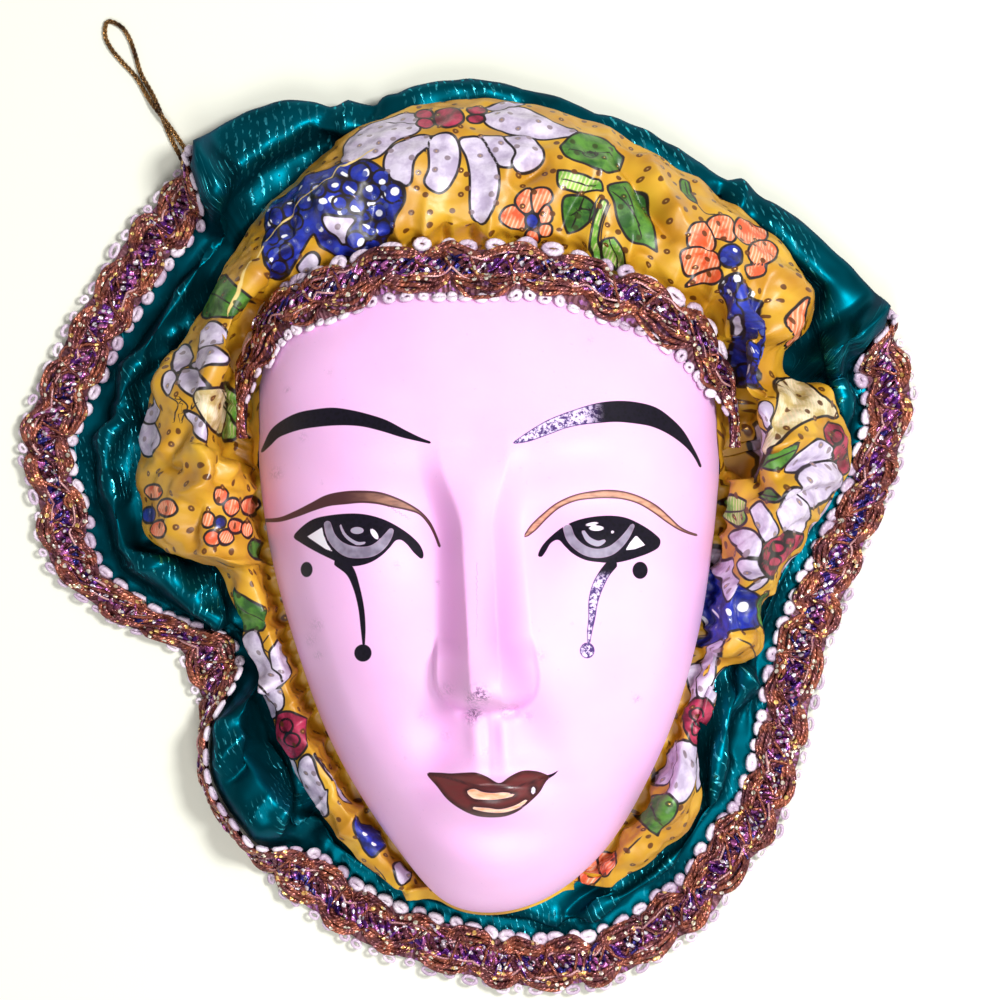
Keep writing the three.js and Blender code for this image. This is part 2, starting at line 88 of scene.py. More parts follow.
# Directions between which the collar's edge hangs down or rolls under, and the ruffle's crown
HANGING_EDGE = dict(low=204, high=234, turn=78, ease=12)
ROLLED_EDGE = dict(low=32, high=126.5, turn=180, ease=9)
CROWN = dict(low=25, high=154.5, ease=14)
BELOW_CHIN = dict(low=257.5, high=286.5, ease=9)
RUFFLE_HOLD = 7.4
RUFFLE_CREST = 25.5
LOWEST_HEM = 10
COLLAR_SWELL = 9.5
TUCK = 2.8
LEAST_RUFFLE = 3.4
LEAST_HEIGHT = 0.5
LEAST_BRAID_HEIGHT = 0.05
# How much of its width and height the ruffle keeps below the chin
SHY_SHARE = [0.2, 0.08]
MEAN_PUCKER = 0.45

# Centreline of the forehead braid
HEADBAND_LOWEST = 0.85
HEADBAND_LINE = [
    (-42, 21), (-41.5, 30), (-37.5, 39.5), (-31, 44.8), (-22, 48), (-3.4, 50.6), (17.3, 49.2),
    (29, 45.6), (38.5, 40.4), (45.8, 32.5), (48.8, 25), (49.6, 19),
]

# The hanging loop's twisted plies: radius, length of one turn and step between points
CORD_PLIES = 3
PLY_RADIUS = 0.25
CORD_TWIST = 3.0
CORD_STEP = 0.4

# The hanging loop's course in metres: distance from the glued end, distance of each strand
# from the middle line, and heights of the two strands
CORD_DIAMETER = 0.001
LOOP_START = np.array([-0.0362, 0.0403])
LOOP_TIP = np.array([-0.0724, 0.1036])
LOOP_STRANDS = [
    (0, 0.0012, 0.0021, 0.0021), (0.004, 0.0011, 0.0009, 0.0009), (0.009, 0.001, 0.0005, 0.0005),
    (0.016, 0.0009, 0.0005, 0.0005), (0.024, 0.0009, 0.0005, 0.0005),
    (0.032, 0.0009, 0.0005, 0.0005), (0.04, 0.0009, 0.0005, 0.0005),
    (0.046, 0.0006, 0.0005, 0.0006), (0.0485, 0.00035, 0.0005, 0.0013),
    (0.051, 0, 0.0005, 0.0016), (0.0535, -0.00035, 0.0005, 0.0013),
    (0.056, -0.00055, 0.0005, 0.0006), (0.0605, -0.0006, 0.0005, 0.0005),
    (0.0645, -0.0015, 0.0005, 0.0005), (0.068, -0.0021, 0.0005, 0.0005),
    (0.0708, -0.0018, 0.0005, 0.0005),
]


def new_object(name, data):
    made = bpy.data.objects.new(name, data)
    bpy.context.scene.collection.objects.link(made)
    return made


def add_camera():
    data = bpy.data.cameras.new("camera")
    data.lens = LENS
    data.sensor_width = SENSOR
    data.clip_start = NEAREST_SEEN
    camera = new_object("camera", data)
    camera.location = CAMERA * MM
    bpy.context.scene.camera = camera


def to_pixels(points):
    """Where points in millimetres appear in the photograph's frame."""
    scale = PIXELS_PER_MM * CAMERA[2] / (CAMERA[2] - points[:, 2])
    x = FRAME_MIDDLE + scale * (points[:, 0] - CAMERA[0])
    y = FRAME_MIDDLE - scale * (points[:, 1] - CAMERA[1])
    return np.stack([x, y], axis=1)


# Curves and easing


def lerp(a, b, part):
    return a + (b - a) * part


def smooth(value):
    value = np.clip(value, 0, 1)
    return value * value * (3 - 2 * value)


def bell(offset, width):
    return np.exp(-0.5 * (offset / width) ** 2)


def unit(vectors):
    return vectors / np.maximum(np.linalg.norm(vectors, axis=-1, keepdims=True), 1e-9)


def lengths_along(line):
    """Distance from the start of a line to each of its points."""
    steps = np.linalg.norm(np.diff(line, axis=-2), axis=-1)
    return np.concatenate([np.zeros_like(steps[..., :1]), np.cumsum(steps, axis=-1)], axis=-1)


def catmull_rom(points, per_span, closed=False):
    """A smooth line through points: centripetal, with per_span steps between neighbours."""
    points = np.asarray(points, float)
    if closed:
        padded = np.vstack([points[-1], points, points[0], points[1]])
    else:
        padded = np.vstack([2 * points[0] - points[1], points, 2 * points[-1] - points[-2]])
    p0, p1, p2, p3 = padded[:-3], padded[1:-2], padded[2:-1], padded[3:]

    def step(a, b):
        return np.maximum(np.linalg.norm(b - a, axis=1, keepdims=True) ** 0.5, 1e-6)

    t0, t1, t2 = step(p0, p1), step(p1, p2), step(p2, p3)
    m1 = ((p1 - p0) / t0 - (p2 - p0) / (t0 + t1) + (p2 - p1) / t1) * t1
    m2 = ((p2 - p1) / t1 - (p3 - p1) / (t1 + t2) + (p3 - p2) / t2) * t1
    t = (np.arange(per_span) / per_span)[None, :, None]
    a, b, m1, m2 = p1[:, None], p2[:, None], m1[:, None], m2[:, None]
    line = ((2 * t**3 - 3 * t**2 + 1) * a + (t**3 - 2 * t**2 + t) * m1
            + (-2 * t**3 + 3 * t**2) * b + (t**3 - t**2) * m2)
    line = line.reshape(-1, points.shape[1])
    return line if closed else np.vstack([line, points[-1]])


def resample(line, count):
    """A line of points as count points at even distances along it."""
    along = lengths_along(line)
    wanted = np.linspace(0, along[-1], count)
    return np.stack([np.interp(wanted, along, column) for column in line.T], axis=1)


def polar_outline(points):
    """Distance from the pole to a closed outline, as a function of the direction in degrees."""
    curve = catmull_rom(np.asarray(points, float) - POLE, 40, closed=True)
    direction = np.degrees(np.arctan2(curve[:, 1], curve[:, 0])) % 360
    order = np.argsort(direction)
    every = np.arange(0, 360, 0.25)
    radius = np.interp(every, direction[order], np.hypot(*curve.T)[order], period=360)
    kernel = np.ones(7) / 7
    radius = np.convolve(np.concatenate([radius[-3:], radius, radius[:3]]), kernel, "valid")
    return lambda wanted: np.interp(wanted, every, radius, period=360)


ceramic_radius = polar_outline(CERAMIC_EDGE)
ruffle_radius = polar_outline(RUFFLE_EDGE)
collar_radius = polar_outline(COLLAR_EDGE)


def turn_between(a, b):
    return (a - b + 540) % 360 - 180


def within(direction, low, high, ease, turn=1):
    """turn inside a range of directions and 0 outside it, easing over a few degrees."""
    outside = np.abs(turn_between(direction, (low + high) / 2)) - (high - low) / 2
    return turn * (1 - smooth((outside + ease / 2) / ease))


def direction_of(x, y):
    return np.degrees(np.arctan2(y - POLE[1], x - POLE[0]))


def distance_of(x, y):
    return np.hypot(x - POLE[0], y - POLE[1])


def polar(radius, direction, height=0.0):
    angle = np.radians(direction)
    x = POLE[0] + radius * np.cos(angle)
    y = POLE[1] + radius * np.sin(angle)
    return np.stack(np.broadcast_arrays(x, y, height), axis=-1)


def ripples(points, wavelength, seed, count=30):
    """Smooth chance unevenness from about -1 to 1, of about one wavelength."""
    rng = np.random.default_rng(seed)
    total = np.zeros(points.shape[:-1])
    for _ in range(count):
        way = rng.normal(size=points.shape[-1])
        way *= 2 * math.pi / wavelength * rng.uniform(0.6, 1.5) / np.linalg.norm(way)
        total += np.sin(points @ way + rng.uniform(0, 2 * math.pi))
    return total / math.sqrt(count)


# Meshes


def make_object(name, points, faces, materials, attributes=None, face_materials=None):
    """An object from points in millimetres, faces and named point attributes."""
    mesh = bpy.data.meshes.new(name)
    faces = faces.tolist() if isinstance(faces, np.ndarray) else faces
    mesh.from_pydata((np.asarray(points) * MM).tolist(), [], faces)
    for material in materials:
        mesh.materials.append(material)
    for key, values in (attributes or {}).items():
        values = np.asarray(values, np.float32)
        kind, field = ("FLOAT", "value") if values.ndim == 1 else ("FLOAT_VECTOR", "vector")
        mesh.attributes.new(key, kind, "POINT").data.foreach_set(field, values.ravel())
    if face_materials is not None:
        mesh.polygons.foreach_set("material_index", np.asarray(face_materials, np.int32))
    mesh.polygons.foreach_set("use_smooth", np.ones(len(mesh.polygons), bool))
    mesh.update()
    return new_object(name, mesh)


def grid_faces(rows, columns, wrap_rows=False, wrap_columns=False, start=0):
    """Quads between the points of a grid that is stored row by row."""
    row = np.arange(rows if wrap_rows else rows - 1)
    column = np.arange(columns if wrap_columns else columns - 1)
    r, c = np.meshgrid(row, column, indexing="ij")
    r, c = r.ravel(), c.ravel()
    r2, c2 = (r + 1) % rows, (c + 1) % columns
    return start + np.stack([r * columns + c, r * columns + c2, r2 * columns + c2,
                             r2 * columns + c], axis=1)


def finish_piece(piece, node):
    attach(piece, "root")
    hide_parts(node)


# Shader nodes


def colour(red, green, blue):
    """Turns a colour as seen on a screen, 0 to 255, into linear values and an alpha of 1."""
    def linear(value):
        value = value / 255
        return value / 12.92 if value <= 0.04045 else ((value + 0.055) / 1.055) ** 2.4
    return (linear(red), linear(green), linear(blue), 1)


class Value:
    """An output of a shader node. Arithmetic with it adds Math nodes."""

    def __init__(self, tree, socket):
        self.tree, self.socket = tree, socket

    def output(self, name):
        return Value(self.tree, self.socket.node.outputs[name])

    def ramp(self, low, high, first=0.0, last=1.0):
        """From low to high as first to last, clamped."""
        return self.tree.node("MapRange", self, low, high, first, last)

    def __add__(self, other):
        return self.tree.maths("ADD", self, other)

    def __sub__(self, other):
        return self.tree.maths("SUBTRACT", self, other)

    def __mul__(self, other):
        return self.tree.maths("MULTIPLY", self, other)

    def __abs__(self):
        return self.tree.maths("ABSOLUTE", self)


class Tree:
    """Adds nodes to the tree of a material or the world."""

    def __init__(self, owner):
        owner.use_nodes = True
        self.nodes, self.links = owner.node_tree.nodes, owner.node_tree.links

    def plug(self, value, socket):
        if isinstance(value, Value):
            self.links.new(value.socket, socket)
        else:
            socket.default_value = value

    def fill(self, made, words):
        """Fills inputs that are named by capitalised words."""
        for word, value in words.items():
            if word[0].isupper():
                self.plug(value, made.inputs[word.replace("_", " ")])

    def node(self, kind, *values, **words):
        """A shader node's first output: values fill its inputs in order, capitalised words
        name inputs and the other words are settings."""
        made = self.nodes.new("ShaderNode" + kind)
        for word, value in words.items():
            if word[0].islower():
                setattr(made, word, value)
        self.fill(made, words)
        for index, value in enumerate(values):
            self.plug(value, made.inputs[index])
        return Value(self, made.outputs[0])

    def maths(self, operation, *values):
        return self.node("Math", *values, operation=operation)

    def highest(self, a, b):
        return self.maths("MAXIMUM", a, b)

    def vector(self, operation, *values, **words):
        return self.node("VectorMath", *values, operation=operation, **words)

    def mix(self, part, a, b):
        """Colour a where part is 0 and b where it is 1."""
        made = self.node("Mix", part, data_type="RGBA").socket.node
        for value, socket in ((a, made.inputs[6]), (b, made.inputs[7])):
            self.plug(value if isinstance(value, Value) else colour(*value), socket)
        return Value(self, made.outputs[2])

    def point_value(self, name):
        return self.node("Attribute", attribute_name=name).output("Fac")

    def point_vector(self, name):
        return self.node("Attribute", attribute_name=name).output("Vector")

    def place(self):
        return self.node("TexCoord").output("Object")

    def noise(self, vector, scale, detail=2.0, roughness=0.5):
        return self.node("TexNoise", Vector=vector, Scale=scale, Detail=detail,
                         Roughness=roughness)

    def clouds(self, vector, scale, detail, low, high, first, last):
        """A colour that soft noise takes from first to last."""
        return self.mix(self.noise(vector, scale, detail).ramp(low, high), first, last)

    def scaled(self, vector, x, y, z):
        return self.node("Mapping", vector, Scale=(x, y, z))

    def turned(self, vector, angle):
        return self.node("Mapping", vector, Rotation=(0, 0, angle))

    def bump(self, height, strength, distance):
        return self.node("Bump", Height=height, Strength=strength, Distance=distance)

    def facets(self, normal, place, scale, amount):
        """A normal tilted by chance in each small cell, as glitter thread is."""
        cells = self.node("TexVoronoi", Vector=place, Scale=scale).output("Color")
        tilt = self.vector("SCALE", self.vector("SUBTRACT", cells, (0.5, 0.5, 0.5)), Scale=amount)
        return self.vector("NORMALIZE", self.vector("ADD", normal, tilt))


def new_material(name):
    material = bpy.data.materials.new(name)
    return material, Tree(material)


def dress(tree, **words):
    """Sets inputs of the surface's shader."""
    tree.fill(tree.nodes["Principled BSDF"], words)


# Painted shapes: signed distances in the units of their points, negative inside


FAR = 40.0
STROKE_STEPS = 6
OUTLINE_STEPS = 5
END_SLOPE = 1.2


def line_gaps(places, line):
    """For each piece of a line: its ends and length, how far along it the places lie, their
    distance to it and their signed distance to the straight line through it."""
    for a, b in zip(line[:-1], line[1:]):
        along = b[:2] - a[:2]
        length = max(np.hypot(*along), 1e-6)
        along = along / length
        offset = places - a[:2]
        at = offset @ along
        gap = np.hypot(*(offset - np.clip(at, 0, length)[:, None] * along).T)
        yield a, b, length, at, gap, along[0] * offset[:, 1] - along[1] * offset[:, 0]


def nearest_on(places, line):
    """Distance to a line, signed distance to its nearest piece's straight line, position on
    the line as a corner's index and part, and the distance past an open end."""
    nearest = np.full(len(places), 1e6)
    found = np.zeros((3, len(places)))
    for index, (_, _, length, at, gap, cross) in enumerate(line_gaps(places, line)):
        past = np.zeros_like(at)
        if index == 0:
            past = np.maximum(past, -at)
        if index == len(line) - 2:
            past = np.maximum(past, at - length)
        closer = gap < nearest
        nearest[closer] = gap[closer]
        values = (cross, index + np.clip(at / length, 0, 1), past)
        for kept, value in zip(found, values):
            kept[closer] = value[closer]
    return nearest, *found


def corner_values(position, values):
    return np.interp(position, np.arange(len(values)), values)


def stroke_distance(places, points):
    """Distance to a tapered stroke through points of x, y and half width."""
    nearest = np.full(len(places), 1e3)
    for a, b, length, at, gap, _ in line_gaps(places, catmull_rom(points, STROKE_STEPS)):
        nearest = np.minimum(nearest, gap - lerp(a[2], b[2], np.clip(at / length, 0, 1)))
    return nearest


def stroke_sides(places, strokes):
    """Signed distance to the middle of the nearest tapered stroke, and its half width there."""
    nearest = np.full(len(places), 1e3)
    side = np.full(len(places), FAR)
    half = np.full(len(places), -FAR)
    for stroke in strokes:
        line = catmull_rom(stroke, STROKE_STEPS)
        gap, cross, position, past = nearest_on(places, line)
        closer = gap < nearest
        nearest[closer] = gap[closer]
        signed = np.where(past > 0, cross, np.where(cross < 0, -gap, gap))
        side[closer] = signed[closer]
        half[closer] = (corner_values(position, line[:, 2]) - END_SLOPE * past)[closer]
    return np.clip(side, -FAR, FAR), np.clip(half, -FAR, FAR)


def shape_distance(places, points, per_span=OUTLINE_STEPS):
    """Distance to a closed shape with a smooth outline through points."""
    line = catmull_rom(points, per_span, closed=True) if per_span > 1 else np.array(points, float)
    nearest = np.full(len(places), 1e3)
    inside = np.zeros(len(places), bool)
    for a, b, _, _, gap, _ in line_gaps(places, np.vstack([line, line[:1]])):
        nearest = np.minimum(nearest, gap)
        crosses = (a[1] > places[:, 1]) != (b[1] > places[:, 1])
        if crosses.any():
            x = a[0] + (places[:, 1] - a[1]) * (b[0] - a[0]) / (b[1] - a[1])
            inside ^= crosses & (places[:, 0] < x)
    return np.where(inside, -1, 1) * nearest


def ellipse_distance(places, x, y, width, height, tilt=0):
    angle = math.radians(tilt)
    dx, dy = places[:, 0] - x, places[:, 1] - y
    u = (dx * math.cos(angle) + dy * math.sin(angle)) / width
    v = (dy * math.cos(angle) - dx * math.sin(angle)) / height
    return (np.hypot(u, v) - 1) * min(width, height)


# Low mounds and hollows of the ceramic's features: height, place across and up, and half
# widths, in millimetres; the first list is mirrored about the nose's line
TWIN_MOUNDS = {
    "eyes": [(-4, 20, 5, 12, 7), (-2, 10, 2, 4.5, 7), (4.4, 22.5, 0.8, 9.5, 5.6)],
    "brow": [(2.2, 17, 16, 12, 5)],
    "cheeks": [(2.4, 25, -20, 12, 13)],
    "nostrils": [(-2.4, 3.7, -31.4, 1.4, 0.8)],
    "lips": [(0.9, 2.9, -36.5, 1, 3.6), (1.7, 4.5, -42.6, 4.2, 1.9)],
}
SINGLE_MOUNDS = {
    "nose tip": [(1.5, 0.4, -25.8, 3.2, 3.2)],
    "mouth": [(3.9, 0, -43, 11.5, 10.5), (-1.2, 0.3, -36.5, 1.3, 3.6), (2.4, 0, -48.6, 7, 2.6)],
    "chin": [(4, 0, -62, 9, 8), (-1.6, 0, -54.5, 8, 2.6)],
}
NOSE_LEAN = 0.057
NOSE_TOP = 18
NOSE_LENGTH = 45
WING = -25.2
BRIDGE_RISE, TIP_RISE = 1.8, 11.7


def mound(across, up, centre_across, centre_up, width_across, width_up):
    return bell(across - centre_across, width_across) * bell(up - centre_up, width_up)


def nose_height(across, side, y):
    """The nose: a ridge whose flanks end in rounded wings."""
    bridge = smooth((y - 2) / 15)
    core = 3.1 + 3.4 * bridge
    low_wing = 5.2 + 4.7 * np.sqrt(np.clip(1 - ((np.minimum(y, WING) - WING) / 5.4) ** 2, 0, 1))
    reach = lerp(8.5, 9.1, smooth((4 - y) / 20)) + 2.6 * bridge + 0.8 * bell(y - WING, 4.2)
    reach = np.minimum(reach, np.where(y < WING, low_wing, reach))
    part = (side - core) / np.maximum(reach - core, 1)
    slope = lerp(1 - (1 - np.clip(part, 0, 1)) ** 1.8, smooth(part), 0.2)
    kept = 0.3 * smooth((-17 - y) / 5)
    flank = lerp(1, kept, slope) * (1 - smooth((side - reach + 0.7) / 0.9) * (kept > 0))
    ends = 1 / (1 + np.exp((y - 15) / 3)) / (1 + np.exp(-(y + 29.8) / 0.75))
    along = np.clip((NOSE_TOP - y) / NOSE_LENGTH, 0, 1)
    beside_lip = lerp(4.2, 1.4, smooth(across + 0.5)) * mound(side, y, 8.8, -36.5, 4.3, 5)
    return lerp(BRIDGE_RISE, TIP_RISE, along**0.85) * flank * ends - beside_lip


def feature_height(x, y):
    """Modelling of the features, added to the smooth dome."""
    across = x - 2 + NOSE_LEAN * y
    side = np.sqrt(across**2 + 1.4)
    height = nose_height(across, side, y) - 1.1 * bell(y + 45, 0.9) * bell(across, 8)
    for place, features in ((side, TWIN_MOUNDS), (across, SINGLE_MOUNDS)):
        for rise, *shape in sum(features.values(), []):
            height = height + rise * mound(place, y, *shape)
    return height


def ceramic_height(x, y):
    fraction = distance_of(x, y) / ceramic_radius(direction_of(x, y))
    fraction = np.clip(fraction, 0, 1)
    dome = DOME_HEIGHT * np.sqrt(1 - fraction**DOME_POWER)
    return RIM_HEIGHT + dome + feature_height(x, y) * (1 - smooth((fraction - 0.8) / 0.2))


def fraction_of(arc):
    return np.sin(math.pi / 2 * np.clip(arc, 0, 1)) ** ARC_POWER


def arc_of(fraction):
    return np.arcsin(np.clip(fraction, 0, 1) ** (1 / ARC_POWER)) / (math.pi / 2)


def on_ceramic(plan):
    plan[..., 2] = ceramic_height(plan[..., 0], plan[..., 1])
    return plan


def ceramic_point(direction, arc):
    points = on_ceramic(polar(fraction_of(arc) * ceramic_radius(direction), direction))
    points[..., 2] = np.where(np.asarray(arc) < 1, points[..., 2], RIM_HEIGHT)
    return points


FACE_RINGS = 140
WALL_FROM = (0.8, 0.896)
# The rim below the front as distance in from the outline and height, and the hollow's rings as
# parts of its half width
RIM_PROFILE = [(0.25, 0.3), (0.9, 0), (2.4, 0), (3.1, 0.3), (3.4, 1.2)]
HOLLOW_RINGS = (0.97, 0.9, 0.78, 0.62, 0.45, 0.28, 0.12)
RIM_ROUNDING = 0.9


def face_fraction(part):
    """Even rings over the dome, closer together on its steep wall."""
    start, fraction = WALL_FROM
    wall = np.sin(math.pi / 2 * np.clip((part - start) / (1 - start), 0, 1))
    return np.where(part < start, part * fraction / start, fraction + (1 - fraction) * wall)


def face_mesh():
    """The face as a square grid stretched onto its outline, with a rounded rim and a hollow."""
    n = FACE_RINGS
    i, j = np.meshgrid(np.arange(-n, n + 1), np.arange(-n, n + 1), indexing="ij")
    ring = np.maximum(np.abs(i), np.abs(j))
    steps = np.maximum(ring, 1)
    sides = [i == ring, j == ring, i == -ring]
    direction = 45 * np.select(sides, [j / steps, 2 - i / steps, 4 - j / steps], 6 + i / steps)
    radius = face_fraction(ring / n) * ceramic_radius(direction)
    points = on_ceramic(polar(radius, direction)).reshape(-1, 3)
    size = 2 * n + 1
    square = np.arange(size * size).reshape(size, size)
    border = np.concatenate([square[:-1, 0], square[-1, :-1], square[:0:-1, -1], square[0, :0:-1]])
    rim = direction.ravel()[border]
    edge = ceramic_radius(rim)
    points[border, 2] = RIM_HEIGHT + RIM_ROUNDING
    loops = [polar(edge - inset, rim, RIM_HEIGHT + height) for inset, height in RIM_PROFILE]
    for part in HOLLOW_RINGS:
        inner = on_ceramic(polar(part * (edge - CERAMIC_WALL), rim))
        loops.append(inner - [0, 0, CERAMIC_WALL + 0.6])
    count, start = len(border), len(points)
    points = np.vstack([points, *loops, [[*POLE, loops[-1][:, 2].mean()]]])
    around = np.arange(count)
    after = (around + 1) % count
    seam = np.stack([border[around], border[after], start + after, start + around], axis=1)
    inside = grid_faces(len(loops), count, wrap_columns=True, start=start)[:, ::-1]
    last = start + (len(loops) - 1) * count
    fan = [[last + a, last + b, len(points) - 1] for a, b in zip(around, after)]
    return points, np.vstack([grid_faces(size, size), seam, inside]).tolist() + fan


# Paint on the face, in pixels of the photograph: strokes are (x, y, half width)
LEFT_BROW = [
    (262, 451.5, 1.4), (268, 443, 3.6), (275, 433.5, 5.6), (285, 427, 7.2), (300, 421, 8.6),
    (317, 418, 9), (333, 416.6, 9), (350, 417.7, 7.8), (365, 420.2, 6.8), (384, 425.6, 6.1),
    (403, 433.5, 4.2), (419.6, 439.4, 2.2), (430, 442.6, 1.3),
]
RIGHT_BROW = [
    (514, 442.8, 1.3), (527, 437.5, 4.5), (548, 427.5, 7), (562, 421.8, 7.4), (576, 417.6, 8.2),
    (597, 413.2, 10), (616, 411.4, 10.6), (634, 412.6, 10.8), (652, 416.5, 10), (666, 424, 8),
    (679, 434.3, 5.8), (690.6, 448.2, 2.8), (696.6, 458, 1.9), (700.5, 466.5, 1.4),
]
LEFT_CREASE = [
    (264, 520.5, 1.8), (280, 519.5, 2.3), (296, 514, 3.2), (312, 507, 4.2), (328, 500.5, 5.8),
    (345, 497.8, 6.6), (361, 496.8, 6.3), (378, 498, 6.3), (393, 502, 5.6), (408, 507, 3.7),
    (420, 513, 2), (429, 522.8, 1.8), (435, 534.3, 1.5), (439.6, 546.5, 1.4),
]
RIGHT_CREASE = [
    (525.5, 536, 2), (533, 528, 3.8), (545, 516, 3.5), (558, 505.5, 3.2), (575, 498, 3.4),
    (592, 495, 4), (608, 494, 4.4), (624, 495.5, 4.2), (640, 500.5, 4), (655, 509, 4.2),
    (668, 519.5, 3.4), (679, 528, 2.1), (689, 532.8, 1.5), (696.5, 535.1, 1.3),
]
LEFT_EYE = [
    (293.6, 537), (301, 527.5), (313.5, 519), (332, 514.9), (355, 513.4), (370, 515.2),
    (385.4, 520), (400.7, 528.2), (413, 537.4), (420.6, 546), (423.7, 555), (422, 559),
    (414.5, 553.5), (406.8, 544.3), (400.7, 539.9), (396, 540.5), (390, 547.4), (382.4, 555),
    (371.6, 562), (359.4, 565.7), (346, 566), (332, 559.6), (316.5, 552), (301, 543),
]
RIGHT_EYE = [
    (538, 556), (541.3, 547), (550.5, 536.6), (564.3, 526), (581, 519), (607, 515.5),
    (625.5, 517.5), (642.4, 525.2), (654.6, 533.6), (660.4, 540), (659, 547), (650, 552.7),
    (637.8, 557.3), (625.5, 561), (614, 563), (600, 562.4), (585, 560), (572.5, 553.5),
    (565, 546.5), (558.2, 539.9), (551, 543), (546, 551.2), (541.3, 557),
]
LEFT_WHITE = [(307.3, 536.6), (322, 527.5), (323.4, 535), (327.2, 544.3), (332.6, 551.6),
              (325.7, 549), (316.5, 542.8)]
RIGHT_WHITE = [(636.2, 535.4), (645, 545), (634.7, 549), (625.8, 550), (630, 542.8)]
LEFT_IRIS = [(327.5, 524.5, 3.4), (331, 536, 4.2), (338, 545, 4.9), (348, 551, 5.8),
             (360, 552.5, 5.5), (371.5, 551, 5.3), (381, 545, 4.9), (387.5, 537, 4),
             (391, 531, 2.6)]
RIGHT_IRIS = [(567.5, 528.8, 4.2), (570.8, 538, 4.4), (578, 546, 4.4), (587, 551.4, 4.4),
              (598, 553.4, 4.4), (610.2, 550.8, 4.4), (619.4, 544, 4), (627, 535, 3.2),
              (632.4, 526, 2)]
# Grey arcs across the pupils: painted highlights
LEFT_HIGHLIGHT_ARC = [(340.3, 525.2, 0.9), (344, 533.6, 1.2), (350.2, 539.7, 1.4), (358, 543.5, 1.4),
            (364.7, 542.8, 0.9)]
RIGHT_HIGHLIGHT_ARC = [(583.4, 532, 1.6), (588.8, 539.7, 2.6), (598, 543.5, 2.6), (604, 541.2, 1.6)]
LEFT_TEAR = [(339, 560, 7), (350.2, 571.8, 4.8), (356.3, 587, 3.5), (361, 607, 3),
             (363, 627, 2.6), (363.7, 645, 1.3)]
RIGHT_TEAR = [(613.3, 562.7, 5.5), (605.6, 571.8, 5.5), (598, 585.6, 5.8), (593.4, 601, 5),
              (591.8, 618, 3.6), (589.5, 633, 2.6), (588.8, 643, 1.5)]
LIPS = [
    (426.8, 773.3), (438, 772.6), (451, 773.3), (465, 772.6), (476.5, 772.6), (486.7, 776.4),
    (499.5, 783), (509.7, 776.4), (522.4, 770.7), (537.7, 771.3), (553, 776), (558.5, 772.3),
    (546.6, 781), (540.3, 791.7), (530, 802), (518.6, 811), (507, 816), (494.4, 817.5),
    (476.5, 816), (461.2, 809.6), (447.2, 799.4), (437, 786.6),
]
LIP_GLEAM = [(467, 791.5), (474, 789), (482, 792), (492, 793.2), (506, 792.6), (515, 795),
             (508, 797.4), (494, 799.6), (482, 799.4), (473, 798)]
LIP_SHINE = [(474, 808, 1.2), (482, 809.4, 1.8), (490, 810.4, 2), (498, 811.2, 1.6),
             (507, 810, 1.8), (517, 806.6, 1.7), (526, 801, 1.3)]
MOUTH_LINE = [(428, 773.6, 0.4), (452, 779, 0.9), (477, 786.2, 1), (499, 788, 1.1),
              (520, 785.6, 1), (541, 779, 0.8), (556, 774, 0.3)]
LIP_CORNER = [(538, 777.6, 1), (547, 776.8, 1.7), (553, 774.6, 1.3), (558.5, 770.4, 0.3)]
SPOTS = [(306.6, 569.5, 6, 7.7), (362.9, 653, 8.7, 8.7), (640.1, 570.3, 7.7, 8.7),
         (587.2, 650.5, 7.5, 8)]
GLINTS = [(374.4, 534, 6, 2.5, 55), (596.4, 528.2, 7, 2.5, 0), (591.8, 524, 6, 1.5, -10),
          (612.5, 532, 1.6, 1.3, 0), (533.3, 790.5, 2.2, 3.6, 0)]
# A grey spot in the left pupil: a painted highlight
PUPIL_HIGHLIGHT = (357.1, 530.5, 6.3, 3.3)
# Smudges: x, y, radius and strength
SMUDGES = [
    (478, 693, 5, 0.9), (486, 697, 4, 0.6), (470, 699, 3, 0.6), (475, 712, 5, 0.8),
    (471, 719, 4, 0.5), (504, 710, 4, 0.5), (515, 708, 5, 0.25), (528, 716, 4, 0.3),
    (423, 716, 3, 0.3), (310, 640, 4, 0.25), (317, 625, 4, 0.3), (318, 655, 3, 0.3),
    (437, 583, 2, 0.4), (303, 437, 2.5, 0.3), (276, 473, 4, 0.35), (330, 372, 2, 0.2),
    (287, 390, 2, 0.35), (486, 752, 3, 0.25), (637, 699, 2.5, 0.6), (590, 340, 2, 0.3),
    (447, 690, 5, 0.25), (540, 655, 4, 0.3), (445, 735, 4, 0.2), (397, 565, 3, 0.2),
]
# Half the soft edge of paint, in pixels, and the edges of the brow and tear where the black paint
# is worn and carries a painted glint
PAINT_EDGE = 0.35
WEAR_GLINT_BROW_EDGE, WEAR_GLINT_BROW_FADE = 606, 26
WEAR_GLINT_TEAR_TOP, WEAR_GLINT_TEAR_FADE = 570, 12


